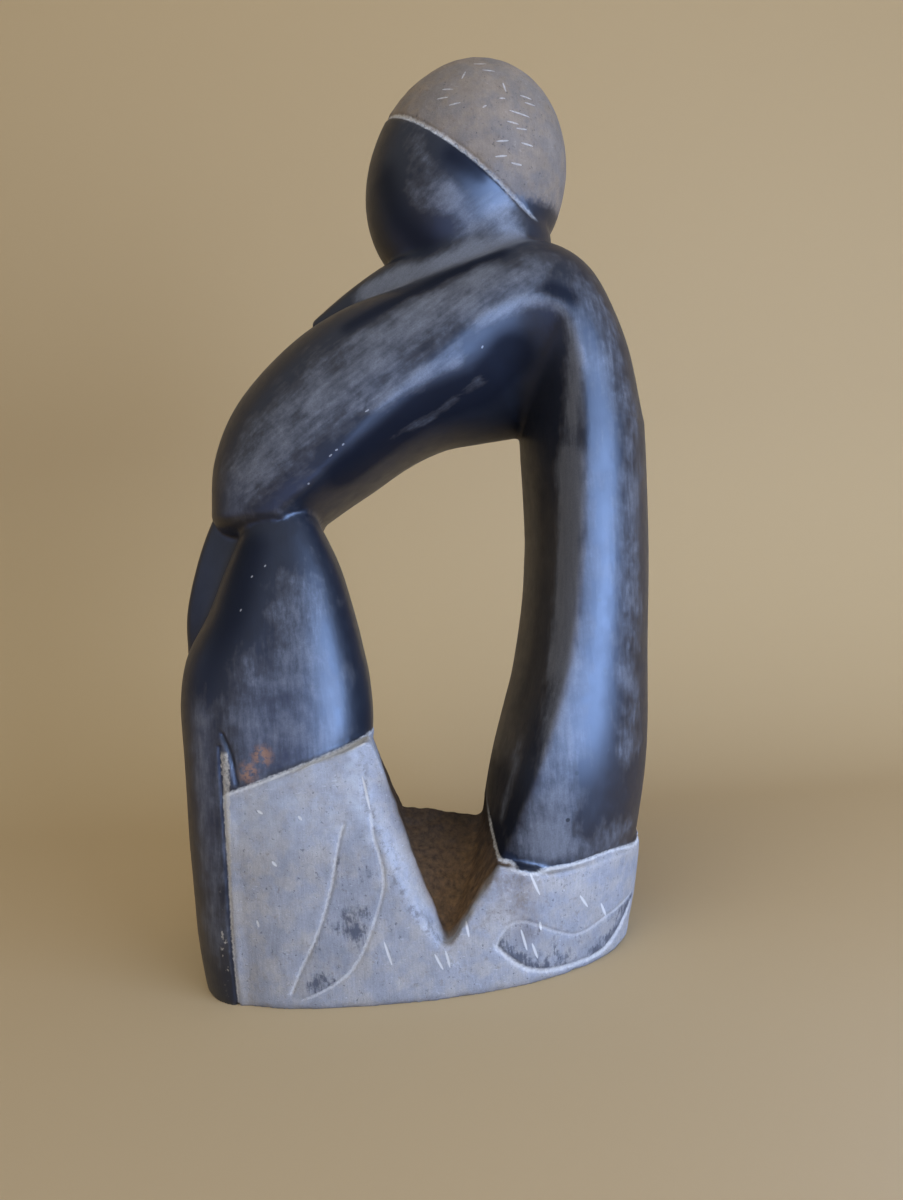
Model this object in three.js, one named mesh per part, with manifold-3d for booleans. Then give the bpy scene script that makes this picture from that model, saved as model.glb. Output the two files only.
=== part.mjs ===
// A seated thinker carved from one block of stone, standing on its flat underside.
// X runs from the shins (negative) to the back (positive), Z is up, and Y runs across the figure.
// The carved near side faces negative Y. All sizes are in millimetres.
import * as THREE from "three";
import { mergeVertices } from "three/addons/utils/BufferGeometryUtils.js";
import Module from "manifold-3d";

const wasm = await Module();
wasm.setup();

// Overall sizes
const HEIGHT = 196.6;
const FRONT_X = -54;
const BACK_X = 54;
const BASE_HALF_DEPTH = 33.7;
const TORSO_HALF_DEPTH = 26;
const HAND_HALF_DEPTH = 21.5;

// Corner of the hole under the armpit, where torso and arms meet in a mitre
const ARMPIT = [26.6, 113.4];

// Torso edges from the seat to the armpit: towards the hole, along the side crest, and down the back
const TORSO_INNER = [[9, 16], [14.2, 40], [21.6, 63.5], [25.6, 87], ARMPIT];
const TORSO_CREST = [[10.5, 16], [23.2, 40], [32.4, 64], [36.6, 87], [38.9, 113]];
const TORSO_BACK = [[43.4, 12], [49.4, 40], [51.4, 65], [53.2, 88], [BACK_X, 113]];
const TORSO_HALVES = [24.6, 27.6, TORSO_HALF_DEPTH, TORSO_HALF_DEPTH, TORSO_HALF_DEPTH];

// Shoulder, fanned about the armpit: crest and outer edge from the torso round to the arm
const SHOULDER_CREST = [[38.9, 113], [38.8, 125.5], [36.2, 135.2], [29, 137.2], [20, 134]];
const SHOULDER_OUTER = [[BACK_X, 113], [51.7, 130.5], [44.6, 147.6], [33, 155.3], [20.5, 153.6]];

// Folded arms from the shoulder down to the hands on the knees
const ARM_INNER = [ARMPIT, [17.8, 112.7], [9, 111.9], [0.5, 108.9], [-8, 104.2], [-15.5, 100.2], [-21, 97]];
const ARM_CREST = [
  [20, 134],
  [13.5, 129.8],
  [5.5, 124.4],
  [-2.5, 118.5],
  [-10, 112],
  [-17, 106],
  [-25, 100.5],
];
const ARM_OUTER = [
  [20.5, 153.6],
  [6, 149.6],
  [-10, 145.4],
  [-24, 137.2],
  [-36.3, 125.6],
  [-42.8, 112.7],
  [-44.3, 101],
];
const ARM_HALVES = [TORSO_HALF_DEPTH, 25.6, 25.2, 25, 24.6, 23.6, HAND_HALF_DEPTH];
const HAND_REACH = 5.5;

// Shares of the bent limb's length where the torso ends and the arms begin, and the powers of its section
const LIMB_SHARES = [0.4, 0.6];
const LIMB_CAP = 0.06;
const LIMB_POWER = { outer: 2.3, torsoInner: 1.3, armInner: 1.8, from: 0.56, to: 0.8 };

// Furrow between the two arms, wide at the neck and narrow from the elbows on
const FURROW = { depth: 4.6, wide: 12, narrow: 4, from: 0.66, to: 0.86 };

// Head, an egg that leans back as it rises
const HEAD_CENTRE = [18.8, 170];
const HEAD_HALF_WIDTH = 22.6;
const HEAD_HALF_DEPTH = 20;
const HEAD_CROWN = HEIGHT - HEAD_CENTRE[1];
const HEAD_CHIN = 24;
const HEAD_LEAN = 0.13;

// Egg that fills the joint under the ear: its centre in the side view, and its half sizes
const NECK_CENTRE = [24.5, 156];
const NECK_HALVES = [12.5, 16.8, 9];
const HAIRLINE = [[-20, 204.6], [34.4, 156.3]];

// Neck and chest wedge that runs forward between the arms: place along X, top, half width
const WEDGE_STATIONS = [
  [37, 152, 10],
  [29, 157.4, 17],
  [19, 157.2, 17.4],
  [10, 155.8, 15.4],
  [0.4, 153.2, 11.6],
  [-8.9, 148.8, 8],
  [-18, 143.4, 3.6],
];
const WEDGE_AXIS_Z = 140;
const WEDGE_DROP = 8;
const WEDGE_CAP = 0.08;
const WEDGE_POWER = 4;

// Legs: level, front of the near leg, front of the far leg, reach towards the hole, half depth
const LEG_STATIONS = [
  [0, -52, -52, -20, 31],
  [12, -53.3, -53.3, -18, 31.2],
  [30, -53.8, -53.8, -13, 30],
  [50, FRONT_X, FRONT_X, -9.2, 28.4],
  [61, -53.8, FRONT_X, -8.7, 27.4],
  [70, -51.6, FRONT_X, -9.8, 26.2],
  [79, -46, -53.4, -11.4, 24.6],
  [88, -41.7, -50.8, -13.5, 22.8],
  [98, -36.5, -46.6, -17.5, 20],
  [108, -34, -41, -22, 15],
];
const LEG_CREST_SHARE = 0.47;
const LEG_CAP = 0.04;
const LEG_POWER = { shin: 2.6, hole: 3.5 };
const SHIN_GROOVE = { depth: 2.6, spread: 3, y: -7 };
const CALF_DRAFT = { slope: 0.22, from: -17 };
const NEAR_KNEE_FROM = 4;
const NEAR_KNEE_FULL = 11;

// Base: the plan is rounder behind than in front, and it leans in as it rises
const PLAN_HEIGHT = 53;
const PLAN_CENTRE_X = -18;
const PLAN_FRONT = [-53.4, FRONT_X, FRONT_X, FRONT_X, -53.6];
const PLAN_BACK = [42.6, 45.4, 47, 47, 47];
const PLAN_HALVES = [34, BASE_HALF_DEPTH, 32.6, 31, 29.6];
const PLAN_FRONT_POWER = 2.6;
const PLAN_BACK_POWERS = [2.2, 2.35, 2.5, 2.5, 2.5];
const PLAN_RINGS = [0, 0.025, 0.06, 0.15, 0.28, 0.42, 0.56, 0.7, 0.85, 1];
const FOOT_ROUNDING = { width: 0.7, height: 1.5 };
const GARMENT_EDGE_X = -40;
const HEM = { x: [-40, -9.5], z: [42.6, 51.8] };

// Scored lines
const LINE_WIDTH = 1.1;
const LINE_DEPTH = 0.6;

// Half length, anywhere outside the figure, of the solids that cut it, and where the strokes' cutters end
const CLEAR = 80;
const STROKE_END_Y = -1;

// The notch under the lap, by place across the figure: its foot, the rise to the seat, and its left top
const NOTCH = [
  { y: -35, left: [1.2, 10.8], right: [4.8, 11.2], rise: [16.6, 25], top: -28.4 },
  { y: -31.8, left: [2.3, 10.9], right: [4.5, 11], rise: [15.8, 25.2], top: -19.7 },
  { y: -28.5, left: [3.4, 11], right: [4.2, 10.8], rise: [15, 25.4], top: -11 },
  { y: -15, left: [-3.2, 21.6], right: [8.4, 20.4], rise: [13.6, 27.4], top: -13 },
  { y: 0, left: [-7.6, 30.6], right: [10.8, 27.6], rise: [12, 28.6], top: -16.5 },
  { y: 15, left: [-8.4, 23], right: [8.4, 20.4], rise: [13.6, 27.4], top: -20.5 },
  { y: 28, left: [-6, 11], right: [4.2, 10.8], rise: [15, 25.4], top: -26 },
  { y: 37, left: [-8, 9], right: [5.6, 9.8], rise: [17, 25], top: -30 },
];
const SEAT_TOP = [[25, 22.4], [CLEAR, 21.4]];
const NOTCH_TOP_Z = 60;
const NOTCH_MIDDLE = 4;

// Strokes scored in the near side: a pointed leaf on the garment and one along the seat
const STROKES = [
  [[-14.8, 36.3], [-17.6, 26], [-22, 14.5], [-27.8, 3.5]],
  [[-9.6, 38.4], [-7.7, 26], [-11, 13.6], [-17.8, 5.6], [-25.5, 2.4]],
  [[13.5, 9.4], [18, 4.9], [25, 2.5], [32, 2.2], [38, 3.8], [43, 9]],
  [[13.6, 10.4], [16, 13], [20.1, 13.2], [26.2, 9.6], [31, 8.3], [37, 9.2], [42.5, 11.2]],
];

// Facets around and along each form, and on each span of a stroke
const LIMB_GRID = [28, 56];
const LEG_GRID = [36, 26];
const HEAD_GRID = [36, 22];
const NECK_GRID = [28, 16];
const WEDGE_GRID = [24, 18];
const BASE_SIDES = 56;
const STROKE_STEPS = 4;

// Turn a closed geometry into a solid, with its faces outward
function solid(geometry) {
  geometry.deleteAttribute("normal");
  geometry.deleteAttribute("uv");
  const merged = mergeVertices(geometry, 1e-4);
  const points = merged.getAttribute("position");
  const kept = [];
  const a = new THREE.Vector3();
  const b = new THREE.Vector3();
  const c = new THREE.Vector3();
  let volume = 0;
  for (let i = 0; i < merged.index.count; i += 3) {
    const face = [0, 1, 2].map((k) => merged.index.getX(i + k));
    if (new Set(face).size === 3) {
      kept.push(face);
      a.fromBufferAttribute(points, face[0]);
      b.fromBufferAttribute(points, face[1]);
      c.fromBufferAttribute(points, face[2]);
      volume += a.dot(b.cross(c));
    }
  }
  const triangles = kept.flatMap((face) => (volume > 0 ? face : [face[0], face[2], face[1]]));
  const mesh = new wasm.Mesh({
    numProp: 3,
    vertProperties: new Float32Array(points.array),
    triVerts: new Uint32Array(triangles),
  });
  return new wasm.Manifold(mesh);
}

// Bend a sphere's grid into a form: place(around, along) gives a point, with both from 0 to 1
function form(place, around, along) {
  const geometry = new THREE.SphereGeometry(1, around, along);
  const points = geometry.getAttribute("position");
  const grid = geometry.getAttribute("uv");
  for (let i = 0; i < points.count; i += 1) {
    const t = 1 - grid.getY(i);
    const pole = t < 1e-6 || t > 1 - 1e-6;
    points.setXYZ(i, ...place(pole ? 0 : grid.getX(i), t));
  }
  return solid(geometry);
}

// Smooth curve through points in the profile plane, and a smooth run of numbers
function rail(points) {
  return new THREE.SplineCurve(points.map(([x, z]) => new THREE.Vector2(x, z)));
}

function run(values) {
  const curve = new THREE.SplineCurve(values.map((value, i) => new THREE.Vector2(i, value)));
  return (t) => curve.getPoint(t).y;
}

const signedPower = (value, power) => Math.sign(value) * Math.abs(value) ** power;

// Split t in 0 to 1 over a body and two round caps: gives the place along the body and the cap's shrink
function capped(t, cap) {
  const body = (t - cap) / (1 - 2 * cap);
  const over = Math.max(-body, body - 1, 0) * (1 - 2 * cap) / cap;
  const angle = Math.min(over, 1) * Math.PI / 2;
  return { body: Math.min(Math.max(body, 0), 1), shrink: Math.cos(angle), reach: Math.sin(angle) };
}

// Torso, shoulder and arms as one bent limb. Its section runs from an inner edge over a side crest,
// almost flat, and from the crest round to the outer edge. u goes from 0 at the seat to 1 at the hands.
const torso = [rail(TORSO_INNER), rail(TORSO_CREST), rail(TORSO_BACK), run(TORSO_HALVES)];
const pivot = rail([ARMPIT, ARMPIT]);
const shoulder = [pivot, rail(SHOULDER_CREST), rail(SHOULDER_OUTER), () => TORSO_HALF_DEPTH];
const arm = [rail(ARM_INNER), rail(ARM_CREST), rail(ARM_OUTER), run(ARM_HALVES)];

function between(edges, t) {
  return {
    inner: edges[0].getPoint(t),
    crest: edges[1].getPoint(t),
    outer: edges[2].getPoint(t),
    half: edges[3](t),
  };
}

function limbSection(u) {
  const [first, second] = LIMB_SHARES;
  if (u < first) {
    return between(torso, u / first);
  }
  if (u < second) {
    return between(shoulder, (u - first) / (second - first));
  }
  return between(arm, (u - second) / (1 - second));
}

// Depth of the furrow between the arms, y away from the middle plane
function furrowDepth(u, y) {
  const grown = THREE.MathUtils.clamp((u - LIMB_SHARES[0]) / (LIMB_SHARES[1] - LIMB_SHARES[0]), 0, 1);
  const closing = THREE.MathUtils.smoothstep(u, FURROW.from, FURROW.to);
  const spread = THREE.MathUtils.lerp(FURROW.wide, FURROW.narrow, closing);
  return FURROW.depth * grown * Math.exp(-((y / spread) ** 2));
}

// Power of the section towards the hole: almost flat on the torso, rounder from the shoulder to the hands
function innerPower(u) {
  const rounder = THREE.MathUtils.smoothstep(u, LIMB_POWER.from, LIMB_POWER.to);
  return THREE.MathUtils.lerp(LIMB_POWER.torsoInner, LIMB_POWER.armInner, rounder);
}

function limbPoint(around, along) {
  const { body, shrink, reach } = capped(along, LIMB_CAP);
  const { inner, crest, outer, half } = limbSection(body);
  const c = Math.cos(2 * Math.PI * around);
  const s = Math.sin(2 * Math.PI * around);
  const power = 2 / (c > 0 ? LIMB_POWER.outer : innerPower(body));
  const y = half * signedPower(s, power);
  const point = crest.clone().lerp(c > 0 ? outer : inner, Math.abs(c) ** power);
  const inward = inner.clone().sub(outer).normalize();
  point.addScaledVector(inward, c > 0 ? furrowDepth(body, y) : 0);
  const middle = inner.clone().add(outer).multiplyScalar(0.5);
  point.sub(middle).multiplyScalar(shrink).add(middle);
  const onwards = new THREE.Vector2(inward.y, -inward.x);
  point.addScaledVector(onwards, body > 0.5 ? HAND_REACH * reach : 0);
  return [point.x, y * shrink, point.y];
}

// Head: an egg, taller above its widest level than below
function headPoint(around, along, inset = 0) {
  const level = Math.cos(Math.PI * along);
  const ring = Math.sin(Math.PI * along);
  const angle = 2 * Math.PI * around;
  const rise = level * ((level > 0 ? HEAD_CROWN : HEAD_CHIN) - inset);
  return [
    HEAD_CENTRE[0] + HEAD_LEAN * rise + (HEAD_HALF_WIDTH - inset) * ring * Math.cos(angle),
    (HEAD_HALF_DEPTH - inset) * ring * Math.sin(angle),
    HEAD_CENTRE[1] + rise,
  ];
}

function neckPoint(around, along) {
  const ring = Math.sin(Math.PI * along);
  const angle = 2 * Math.PI * around;
  return [
    NECK_CENTRE[0] + NECK_HALVES[0] * ring * Math.cos(angle),
    NECK_HALVES[1] * ring * Math.sin(angle),
    NECK_CENTRE[1] + NECK_HALVES[2] * Math.cos(Math.PI * along),
  ];
}

// Neck wedge: a bar with a rounded top, which sinks between the arms as it runs forward
const wedgeX = run(WEDGE_STATIONS.map((row) => row[0]));
const wedgeTop = run(WEDGE_STATIONS.map((row) => row[1]));
const wedgeHalf = run(WEDGE_STATIONS.map((row) => row[2]));

function wedgePoint(around, along) {
  const { body, shrink } = capped(along, WEDGE_CAP);
  const c = Math.cos(2 * Math.PI * around);
  const s = Math.sin(2 * Math.PI * around);
  const height = c > 0 ? wedgeTop(body) - WEDGE_AXIS_Z : WEDGE_DROP;
  const y = wedgeHalf(body) * signedPower(s, 2 / WEDGE_POWER);
  return [wedgeX(body), y * shrink, WEDGE_AXIS_Z + height * signedPower(c, 2 / WEDGE_POWER) * shrink];
}

// Both legs as one form: boxy towards the hole, rounder at the shins, which a narrow groove parts. The hole
// widens towards the far side. The far knee stands further forward than the near one.
const legLevel = run(LEG_STATIONS.map((row) => row[0]));
const legNear = run(LEG_STATIONS.map((row) => row[1]));
const legFar = run(LEG_STATIONS.map((row) => row[2]));
const legHole = run(LEG_STATIONS.map((row) => row[3]));
const legHalf = run(LEG_STATIONS.map((row) => row[4]));

function legPoint(around, along) {
  const { body, shrink } = capped(along, LEG_CAP);
  const c = Math.cos(2 * Math.PI * around);
  const s = Math.sin(2 * Math.PI * around);
  const power = 2 / (c > 0 ? LEG_POWER.shin : LEG_POWER.hole);
  const y = legHalf(body) * signedPower(s, power);
  const nearness = THREE.MathUtils.smoothstep(-y, NEAR_KNEE_FROM, NEAR_KNEE_FULL);
  const front = THREE.MathUtils.lerp(legFar(body), legNear(body), nearness);
  const hole = legHole(body);
  const crest = hole + LEG_CREST_SHARE * (front - hole);
  const groove = SHIN_GROOVE.depth * Math.exp(-(((y - SHIN_GROOVE.y) / SHIN_GROOVE.spread) ** 2));
  const draft = CALF_DRAFT.slope * Math.abs(c) * Math.max(0, y - CALF_DRAFT.from);
  const x = crest + ((c > 0 ? front : hole) - crest) * Math.abs(c) ** power + (c > 0 ? groove : -draft);
  return [crest + (x - crest) * shrink, y * shrink, legLevel(body)];
}

// Base plan at a level: superellipse ahead of and behind its centre, drawn in by inset
const planFront = run(PLAN_FRONT);
const planBack = run(PLAN_BACK);
const planBackPower = run(PLAN_BACK_POWERS);
const planHalf = run(PLAN_HALVES);

function baseBlock(inset, bottom = 0) {
  const geometry = new THREE.CylinderGeometry(1, 1, 1, BASE_SIDES, PLAN_RINGS.length - 1);
  const points = geometry.getAttribute("position");
  for (let i = 0; i < points.count; i += 1) {
    const t = PLAN_RINGS[Math.round((points.getY(i) + 0.5) * (PLAN_RINGS.length - 1))];
    const radius = Math.hypot(points.getX(i), points.getZ(i));
    const angle = Math.atan2(points.getZ(i), points.getX(i));
    const c = Math.cos(angle);
    const s = Math.sin(angle);
    const rounding = FOOT_ROUNDING.width * Math.max(0, 1 - t * PLAN_HEIGHT / FOOT_ROUNDING.height) ** 2;
    const power = 2 / (c > 0 ? planBackPower(t) : PLAN_FRONT_POWER);
    const reach = (c > 0 ? planBack(t) : planFront(t)) - PLAN_CENTRE_X;
    const x = signedPower(Math.abs(c), power) * (reach - Math.sign(reach) * (inset + rounding));
    const y = signedPower(s, power) * (planHalf(t) - inset - rounding);
    points.setXYZ(i, PLAN_CENTRE_X + x * radius, y * radius, bottom + t * (PLAN_HEIGHT - bottom));
  }
  return solid(geometry);
}

// Box between two corners, as a solid
function box(low, high) {
  const size = low.map((value, i) => high[i] - value);
  const geometry = new THREE.BoxGeometry(...size);
  geometry.translate(...low.map((value, i) => value + size[i] / 2));
  return solid(geometry);
}

// Prism along Y of an outline in the profile plane
function prism(outline, nearY, farY) {
  const shape = new THREE.Shape(outline.map(([x, z]) => new THREE.Vector2(x, z)));
  const geometry = new THREE.ExtrudeGeometry(shape, { depth: farY - nearY, bevelEnabled: false });
  geometry.rotateX(Math.PI / 2);
  geometry.translate(0, farY, 0);
  return solid(geometry);
}

// The cut under the lap, opened over the seat, as a many-sided section carried across the figure
function notchCut() {
  const corners = NOTCH.map((row) => [
    [row.left[0], row.left[1]],
    [row.right[0], row.right[1]],
    [row.rise[0], row.rise[1]],
    ...SEAT_TOP,
    [CLEAR, NOTCH_TOP_Z],
    [row.top, NOTCH_TOP_Z],
    [(row.left[0] + row.top) / 2, (row.left[1] + NOTCH_TOP_Z) / 2],
  ]);
  const sides = corners[0].length;
  const geometry = new THREE.CylinderGeometry(1, 1, 1, sides, NOTCH.length - 1);
  const points = geometry.getAttribute("position");
  for (let i = 0; i < points.count; i += 1) {
    const row = Math.round((points.getY(i) + 0.5) * (NOTCH.length - 1));
    const ring = corners[row];
    const turn = Math.atan2(points.getX(i), points.getZ(i)) / (2 * Math.PI) * sides;
    const side = (Math.round(turn) + sides) % sides;
    const centred = Math.hypot(points.getX(i), points.getZ(i)) < 0.5;
    const middle = [0, 1].map((k) => (ring[2][k] * 2 + ring[NOTCH_MIDDLE][k]) / 3);
    const [x, z] = centred ? middle : ring[side];
    points.setXYZ(i, x, NOTCH[row].y, z);
  }
  return solid(geometry);
}

// Slab in the profile plane between two points, LINE_WIDTH thick, running right across
function lineSlab(from, to) {
  const [dx, dz] = [to[0] - from[0], to[1] - from[1]];
  const length = Math.hypot(dx, dz);
  const [nx, nz] = [-dz / length * LINE_WIDTH / 2, dx / length * LINE_WIDTH / 2];
  const outline = [
    [from[0] - nx, from[1] - nz],
    [to[0] - nx, to[1] - nz],
    [to[0] + nx, to[1] + nz],
    [from[0] + nx, from[1] + nz],
  ];
  return prism(outline, -CLEAR, CLEAR);
}

// Stroke scored into the near side of the base block, LINE_DEPTH deep
function scoredStroke(points) {
  const curve = rail(points);
  const steps = STROKE_STEPS * (points.length - 1);
  const near = [];
  const far = [];
  for (let i = 0; i <= steps; i += 1) {
    const middle = curve.getPoint(i / steps);
    const across = curve.getTangent(i / steps).rotateAround(new THREE.Vector2(0, 0), Math.PI / 2);
    const half = LINE_WIDTH / 2;
    near.push([middle.x + across.x * half, middle.y + across.y * half]);
    far.unshift([middle.x - across.x * half, middle.y - across.y * half]);
  }
  return prism([...near, ...far], -CLEAR, STROKE_END_Y);
}

// The garment and seat: the base block cut along the hem, at its front edge and at the notch
function garment() {
  const hemSlope = (HEM.z[1] - HEM.z[0]) / (HEM.x[1] - HEM.x[0]);
  const hemAt = (x) => HEM.z[0] + (x - HEM.x[0]) * hemSlope;
  const hemLine = [[-CLEAR, hemAt(-CLEAR)], [CLEAR, hemAt(CLEAR)]];
  const aboveHem = prism([...hemLine, [CLEAR, 2 * CLEAR], [-CLEAR, 2 * CLEAR]], -CLEAR, CLEAR);
  const ahead = box([-CLEAR, -CLEAR, -CLEAR], [GARMENT_EDGE_X, CLEAR, CLEAR]);
  return baseBlock(0).subtract(aboveHem).subtract(ahead).subtract(notchCut());
}

const limb = form(limbPoint, ...LIMB_GRID);
const legs = form(legPoint, ...LEG_GRID);
const wedge = form(wedgePoint, ...WEDGE_GRID);
const neck = form(neckPoint, ...NECK_GRID);

// The hairline is scored round the egg, and the strokes into the garment and the seat
const egg = form((around, along) => headPoint(around, along), ...HEAD_GRID);
const eggCore = form((around, along) => headPoint(around, along, LINE_DEPTH), ...HEAD_GRID);
const hairSlab = lineSlab(...HAIRLINE);
const head = egg.subtract(hairSlab.subtract(eggCore));
const blockCore = baseBlock(LINE_DEPTH, LINE_DEPTH);
const strokes = STROKES.map((points) => scoredStroke(points).subtract(blockCore));
const scoredGarment = strokes.reduce((block, stroke) => block.subtract(stroke), garment());

const figureSolid = scoredGarment.add(legs).add(limb).add(wedge).add(neck).add(head);

// Solid back to a drawable geometry
function geometryOf(manifold) {
  const mesh = manifold.getMesh();
  const geometry = new THREE.BufferGeometry();
  geometry.setAttribute("position", new THREE.BufferAttribute(mesh.vertProperties, 3));
  geometry.setIndex(new THREE.BufferAttribute(mesh.triVerts, 1));
  return geometry;
}

const stone = new THREE.MeshStandardMaterial({ color: 0x45464c, roughness: 0.5, metalness: 0 });
const figure = new THREE.Mesh(geometryOf(figureSolid), stone);
figure.name = "thinker_figure";

const part = new THREE.Group();
part.add(figure);

export default part;
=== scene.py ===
# %% [markdown]
# # A stone thinker, carved in one piece and smoked black
#
# The real object is a small souvenir carving. One block of soft stone was shaped into a seated
# figure, its skin was burnished and blackened in smoke, and the hair and the garment were scraped
# back to the pale stone. This lesson builds it in Blender as one closed mesh with one material.
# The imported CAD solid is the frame: it fixes the size and the place of everything below.

# %% Load the frame
import math

import bpy
import numpy as np
from mathutils import Matrix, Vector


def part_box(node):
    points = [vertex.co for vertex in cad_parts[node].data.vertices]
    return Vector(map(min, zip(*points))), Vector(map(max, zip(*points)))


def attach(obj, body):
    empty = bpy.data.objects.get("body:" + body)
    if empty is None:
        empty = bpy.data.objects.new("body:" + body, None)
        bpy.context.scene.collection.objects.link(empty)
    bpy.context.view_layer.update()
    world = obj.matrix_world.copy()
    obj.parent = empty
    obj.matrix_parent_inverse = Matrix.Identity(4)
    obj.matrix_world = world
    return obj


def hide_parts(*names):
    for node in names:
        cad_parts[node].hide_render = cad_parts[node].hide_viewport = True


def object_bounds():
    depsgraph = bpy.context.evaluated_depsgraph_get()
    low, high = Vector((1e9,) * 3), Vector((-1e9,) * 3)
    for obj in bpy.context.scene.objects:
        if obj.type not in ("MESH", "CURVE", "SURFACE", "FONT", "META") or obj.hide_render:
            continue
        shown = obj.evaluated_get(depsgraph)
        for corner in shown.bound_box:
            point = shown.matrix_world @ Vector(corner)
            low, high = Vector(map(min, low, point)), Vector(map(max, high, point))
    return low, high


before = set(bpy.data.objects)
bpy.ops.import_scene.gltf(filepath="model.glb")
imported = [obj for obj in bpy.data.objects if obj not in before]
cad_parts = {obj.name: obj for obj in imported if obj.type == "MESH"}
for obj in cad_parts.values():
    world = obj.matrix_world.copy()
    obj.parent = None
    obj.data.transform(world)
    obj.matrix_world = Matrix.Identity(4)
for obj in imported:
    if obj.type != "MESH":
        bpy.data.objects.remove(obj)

CAD_LOW, CAD_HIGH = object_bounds()
MM = 0.001
FIGURE = "thinker_figure"
print("CAD box in mm:", [round(v / MM, 1) for v in (*CAD_LOW, *CAD_HIGH)])

# %% [markdown]
# ## Curves to hang the forms on
#
# A carver sees long curves first: the line of the back, the edge of the armpit, the crest along
# the side. Each one is a rail here, a smooth curve through a few named points. The rails could be
# Blender curve objects, but as functions of one parameter they feed straight into whole-array sums.

# %% Rails


def rail(points):
    """Uniform Catmull-Rom curve: a cubic between each two points, whose slope at a point is half
    the step from the point before to the point after. t runs from 0 to 1 over all the points."""
    points = np.asarray(points, float)
    if points.ndim == 1:
        points = points[:, None]
    padded = np.vstack([points[:1], points, points[-1:]])
    spans = len(points) - 1

    def at(t):
        place = np.clip(np.asarray(t, float), 0, 1) * spans
        first = np.minimum(place.astype(int), spans - 1)
        w = (place - first)[..., None]
        p0, p1, p2, p3 = (padded[first + k] for k in range(4))
        v0, v1 = (p2 - p0) / 2, (p3 - p1) / 2
        cubic = (2 * (p1 - p2) + v0 + v1) * w**3 + (3 * (p2 - p1) - 2 * v0 - v1) * w**2
        return cubic + v0 * w + p1

    return at


def signed_power(value, power):
    """Sign of the value times its size to a power: it turns a circle into a superellipse."""
    return np.sign(value) * np.abs(value) ** power


def smoothstep(value, low, high):
    """0 below low, 1 above high, and 3w^2 - 2w^3 between them."""
    w = np.clip((value - low) / (high - low), 0, 1)
    return w * w * (3 - 2 * w)


# %% [markdown]
# ## A closed grid
#
# Every form is a function of two parameters, around and along, laid over one kind of grid: rings
# of points with a pole at each end. The ring closes on itself and the poles are fans, so there is
# no open edge for the later remesh to stumble on.

# %% Closed grid

piece_points = []
piece_faces = []


def add_form(name, place, around, along):
    """Put the closed surface place(a, t) on the heap: a from 0 up to 1 around, t from 0 to 1 along."""
    a = np.arange(around) / around
    t = np.linspace(0, 1, along + 1)[1:-1]
    rings = place(*np.meshgrid(a, t))
    poles = place(np.zeros(2), np.array([0.0, 1.0]))
    points = np.vstack([rings.reshape(-1, 3), poles])
    row, col = np.meshgrid(np.arange(along - 2), np.arange(around), indexing="ij")
    nxt = (col + 1) % around
    quads = np.stack([row * around + col, row * around + nxt, (row + 1) * around + nxt,
                      (row + 1) * around + col], -1).reshape(-1, 4)
    ring = np.arange(around)
    end = (along - 2) * around
    start_pole, end_pole = len(points) - 2, len(points) - 1
    first_fan = np.stack([ring, np.full(around, start_pole), (ring + 1) % around], -1)
    last_fan = np.stack([end + ring, end + (ring + 1) % around, np.full(around, end_pole)], -1)
    base = sum(len(p) for p in piece_points)
    piece_points.append(points)
    piece_faces.extend((quads + base).tolist() + (first_fan + base).tolist() + (last_fan + base).tolist())
    print(name, "box in mm:", points.min(0).round(1), points.max(0).round(1))


def capped(t, cap):
    """Split t over a straight body and two round caps: place along the body, shrink and reach."""
    body = (t - cap) / (1 - 2 * cap)
    over = np.clip(np.maximum(-body, body - 1) * (1 - 2 * cap) / cap, 0, 1)
    return np.clip(body, 0, 1), np.cos(over * np.pi / 2), np.sin(over * np.pi / 2)


# %% [markdown]
# ## Torso, shoulder and arms
#
# The back, the shoulder and the folded arms are one bent bar that gets round the hole. Its section
# is flat towards the hole, comes to a crest on the side, and is round outside. Three rails carry
# it: the hole's edge, the crest and the outer edge. At the shoulder the sections fan about the
# armpit, which leaves the sharp valley that a rasp makes where two planes meet.

# %% Bent limb
ARMPIT = (26.6, 113.4)
TORSO = (
    rail([(9, 16), (14.2, 40), (21.6, 63.5), (25.6, 87), ARMPIT]),
    rail([(10.5, 16), (23.2, 40), (32.4, 64), (36.6, 87), (38.9, 113)]),
    rail([(43.4, 12), (49.4, 40), (51.4, 65), (53.2, 88), (54, 113)]),
    rail([24.6, 27.6, 26, 26, 26]),
)
SHOULDER = (
    rail([ARMPIT, ARMPIT]),
    rail([(38.9, 113), (38.8, 125.5), (36.2, 135.2), (29, 137.2), (20, 134)]),
    rail([(54, 113), (51.7, 130.5), (44.6, 147.6), (33, 155.3), (20.5, 153.6)]),
    rail([26, 26]),
)
ARM = (
    rail([ARMPIT, (17.8, 112.7), (9, 111.9), (0.5, 108.9), (-8, 104.2), (-15.5, 100.2), (-21, 97)]),
    rail([(20, 134), (13.5, 129.8), (5.5, 124.4), (-2.5, 118.5), (-10, 112), (-17, 106), (-25, 100.5)]),
    rail([(20.5, 153.6), (6, 149.6), (-10, 145.4), (-24, 137.2), (-36.3, 125.6), (-42.8, 112.7),
          (-44.3, 101)]),
    rail([26, 25.6, 25.2, 25, 24.6, 23.6, 21.5]),
)
LIMB_SHARES = (0.4, 0.6)
OUTER_POWER, TORSO_INNER_POWER, ARM_INNER_POWER = 2.3, 1.3, 1.8
HAND_REACH = 5.5
FURROW_DEPTH, FURROW_WIDE, FURROW_NARROW = 4.6, 12, 4


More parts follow.
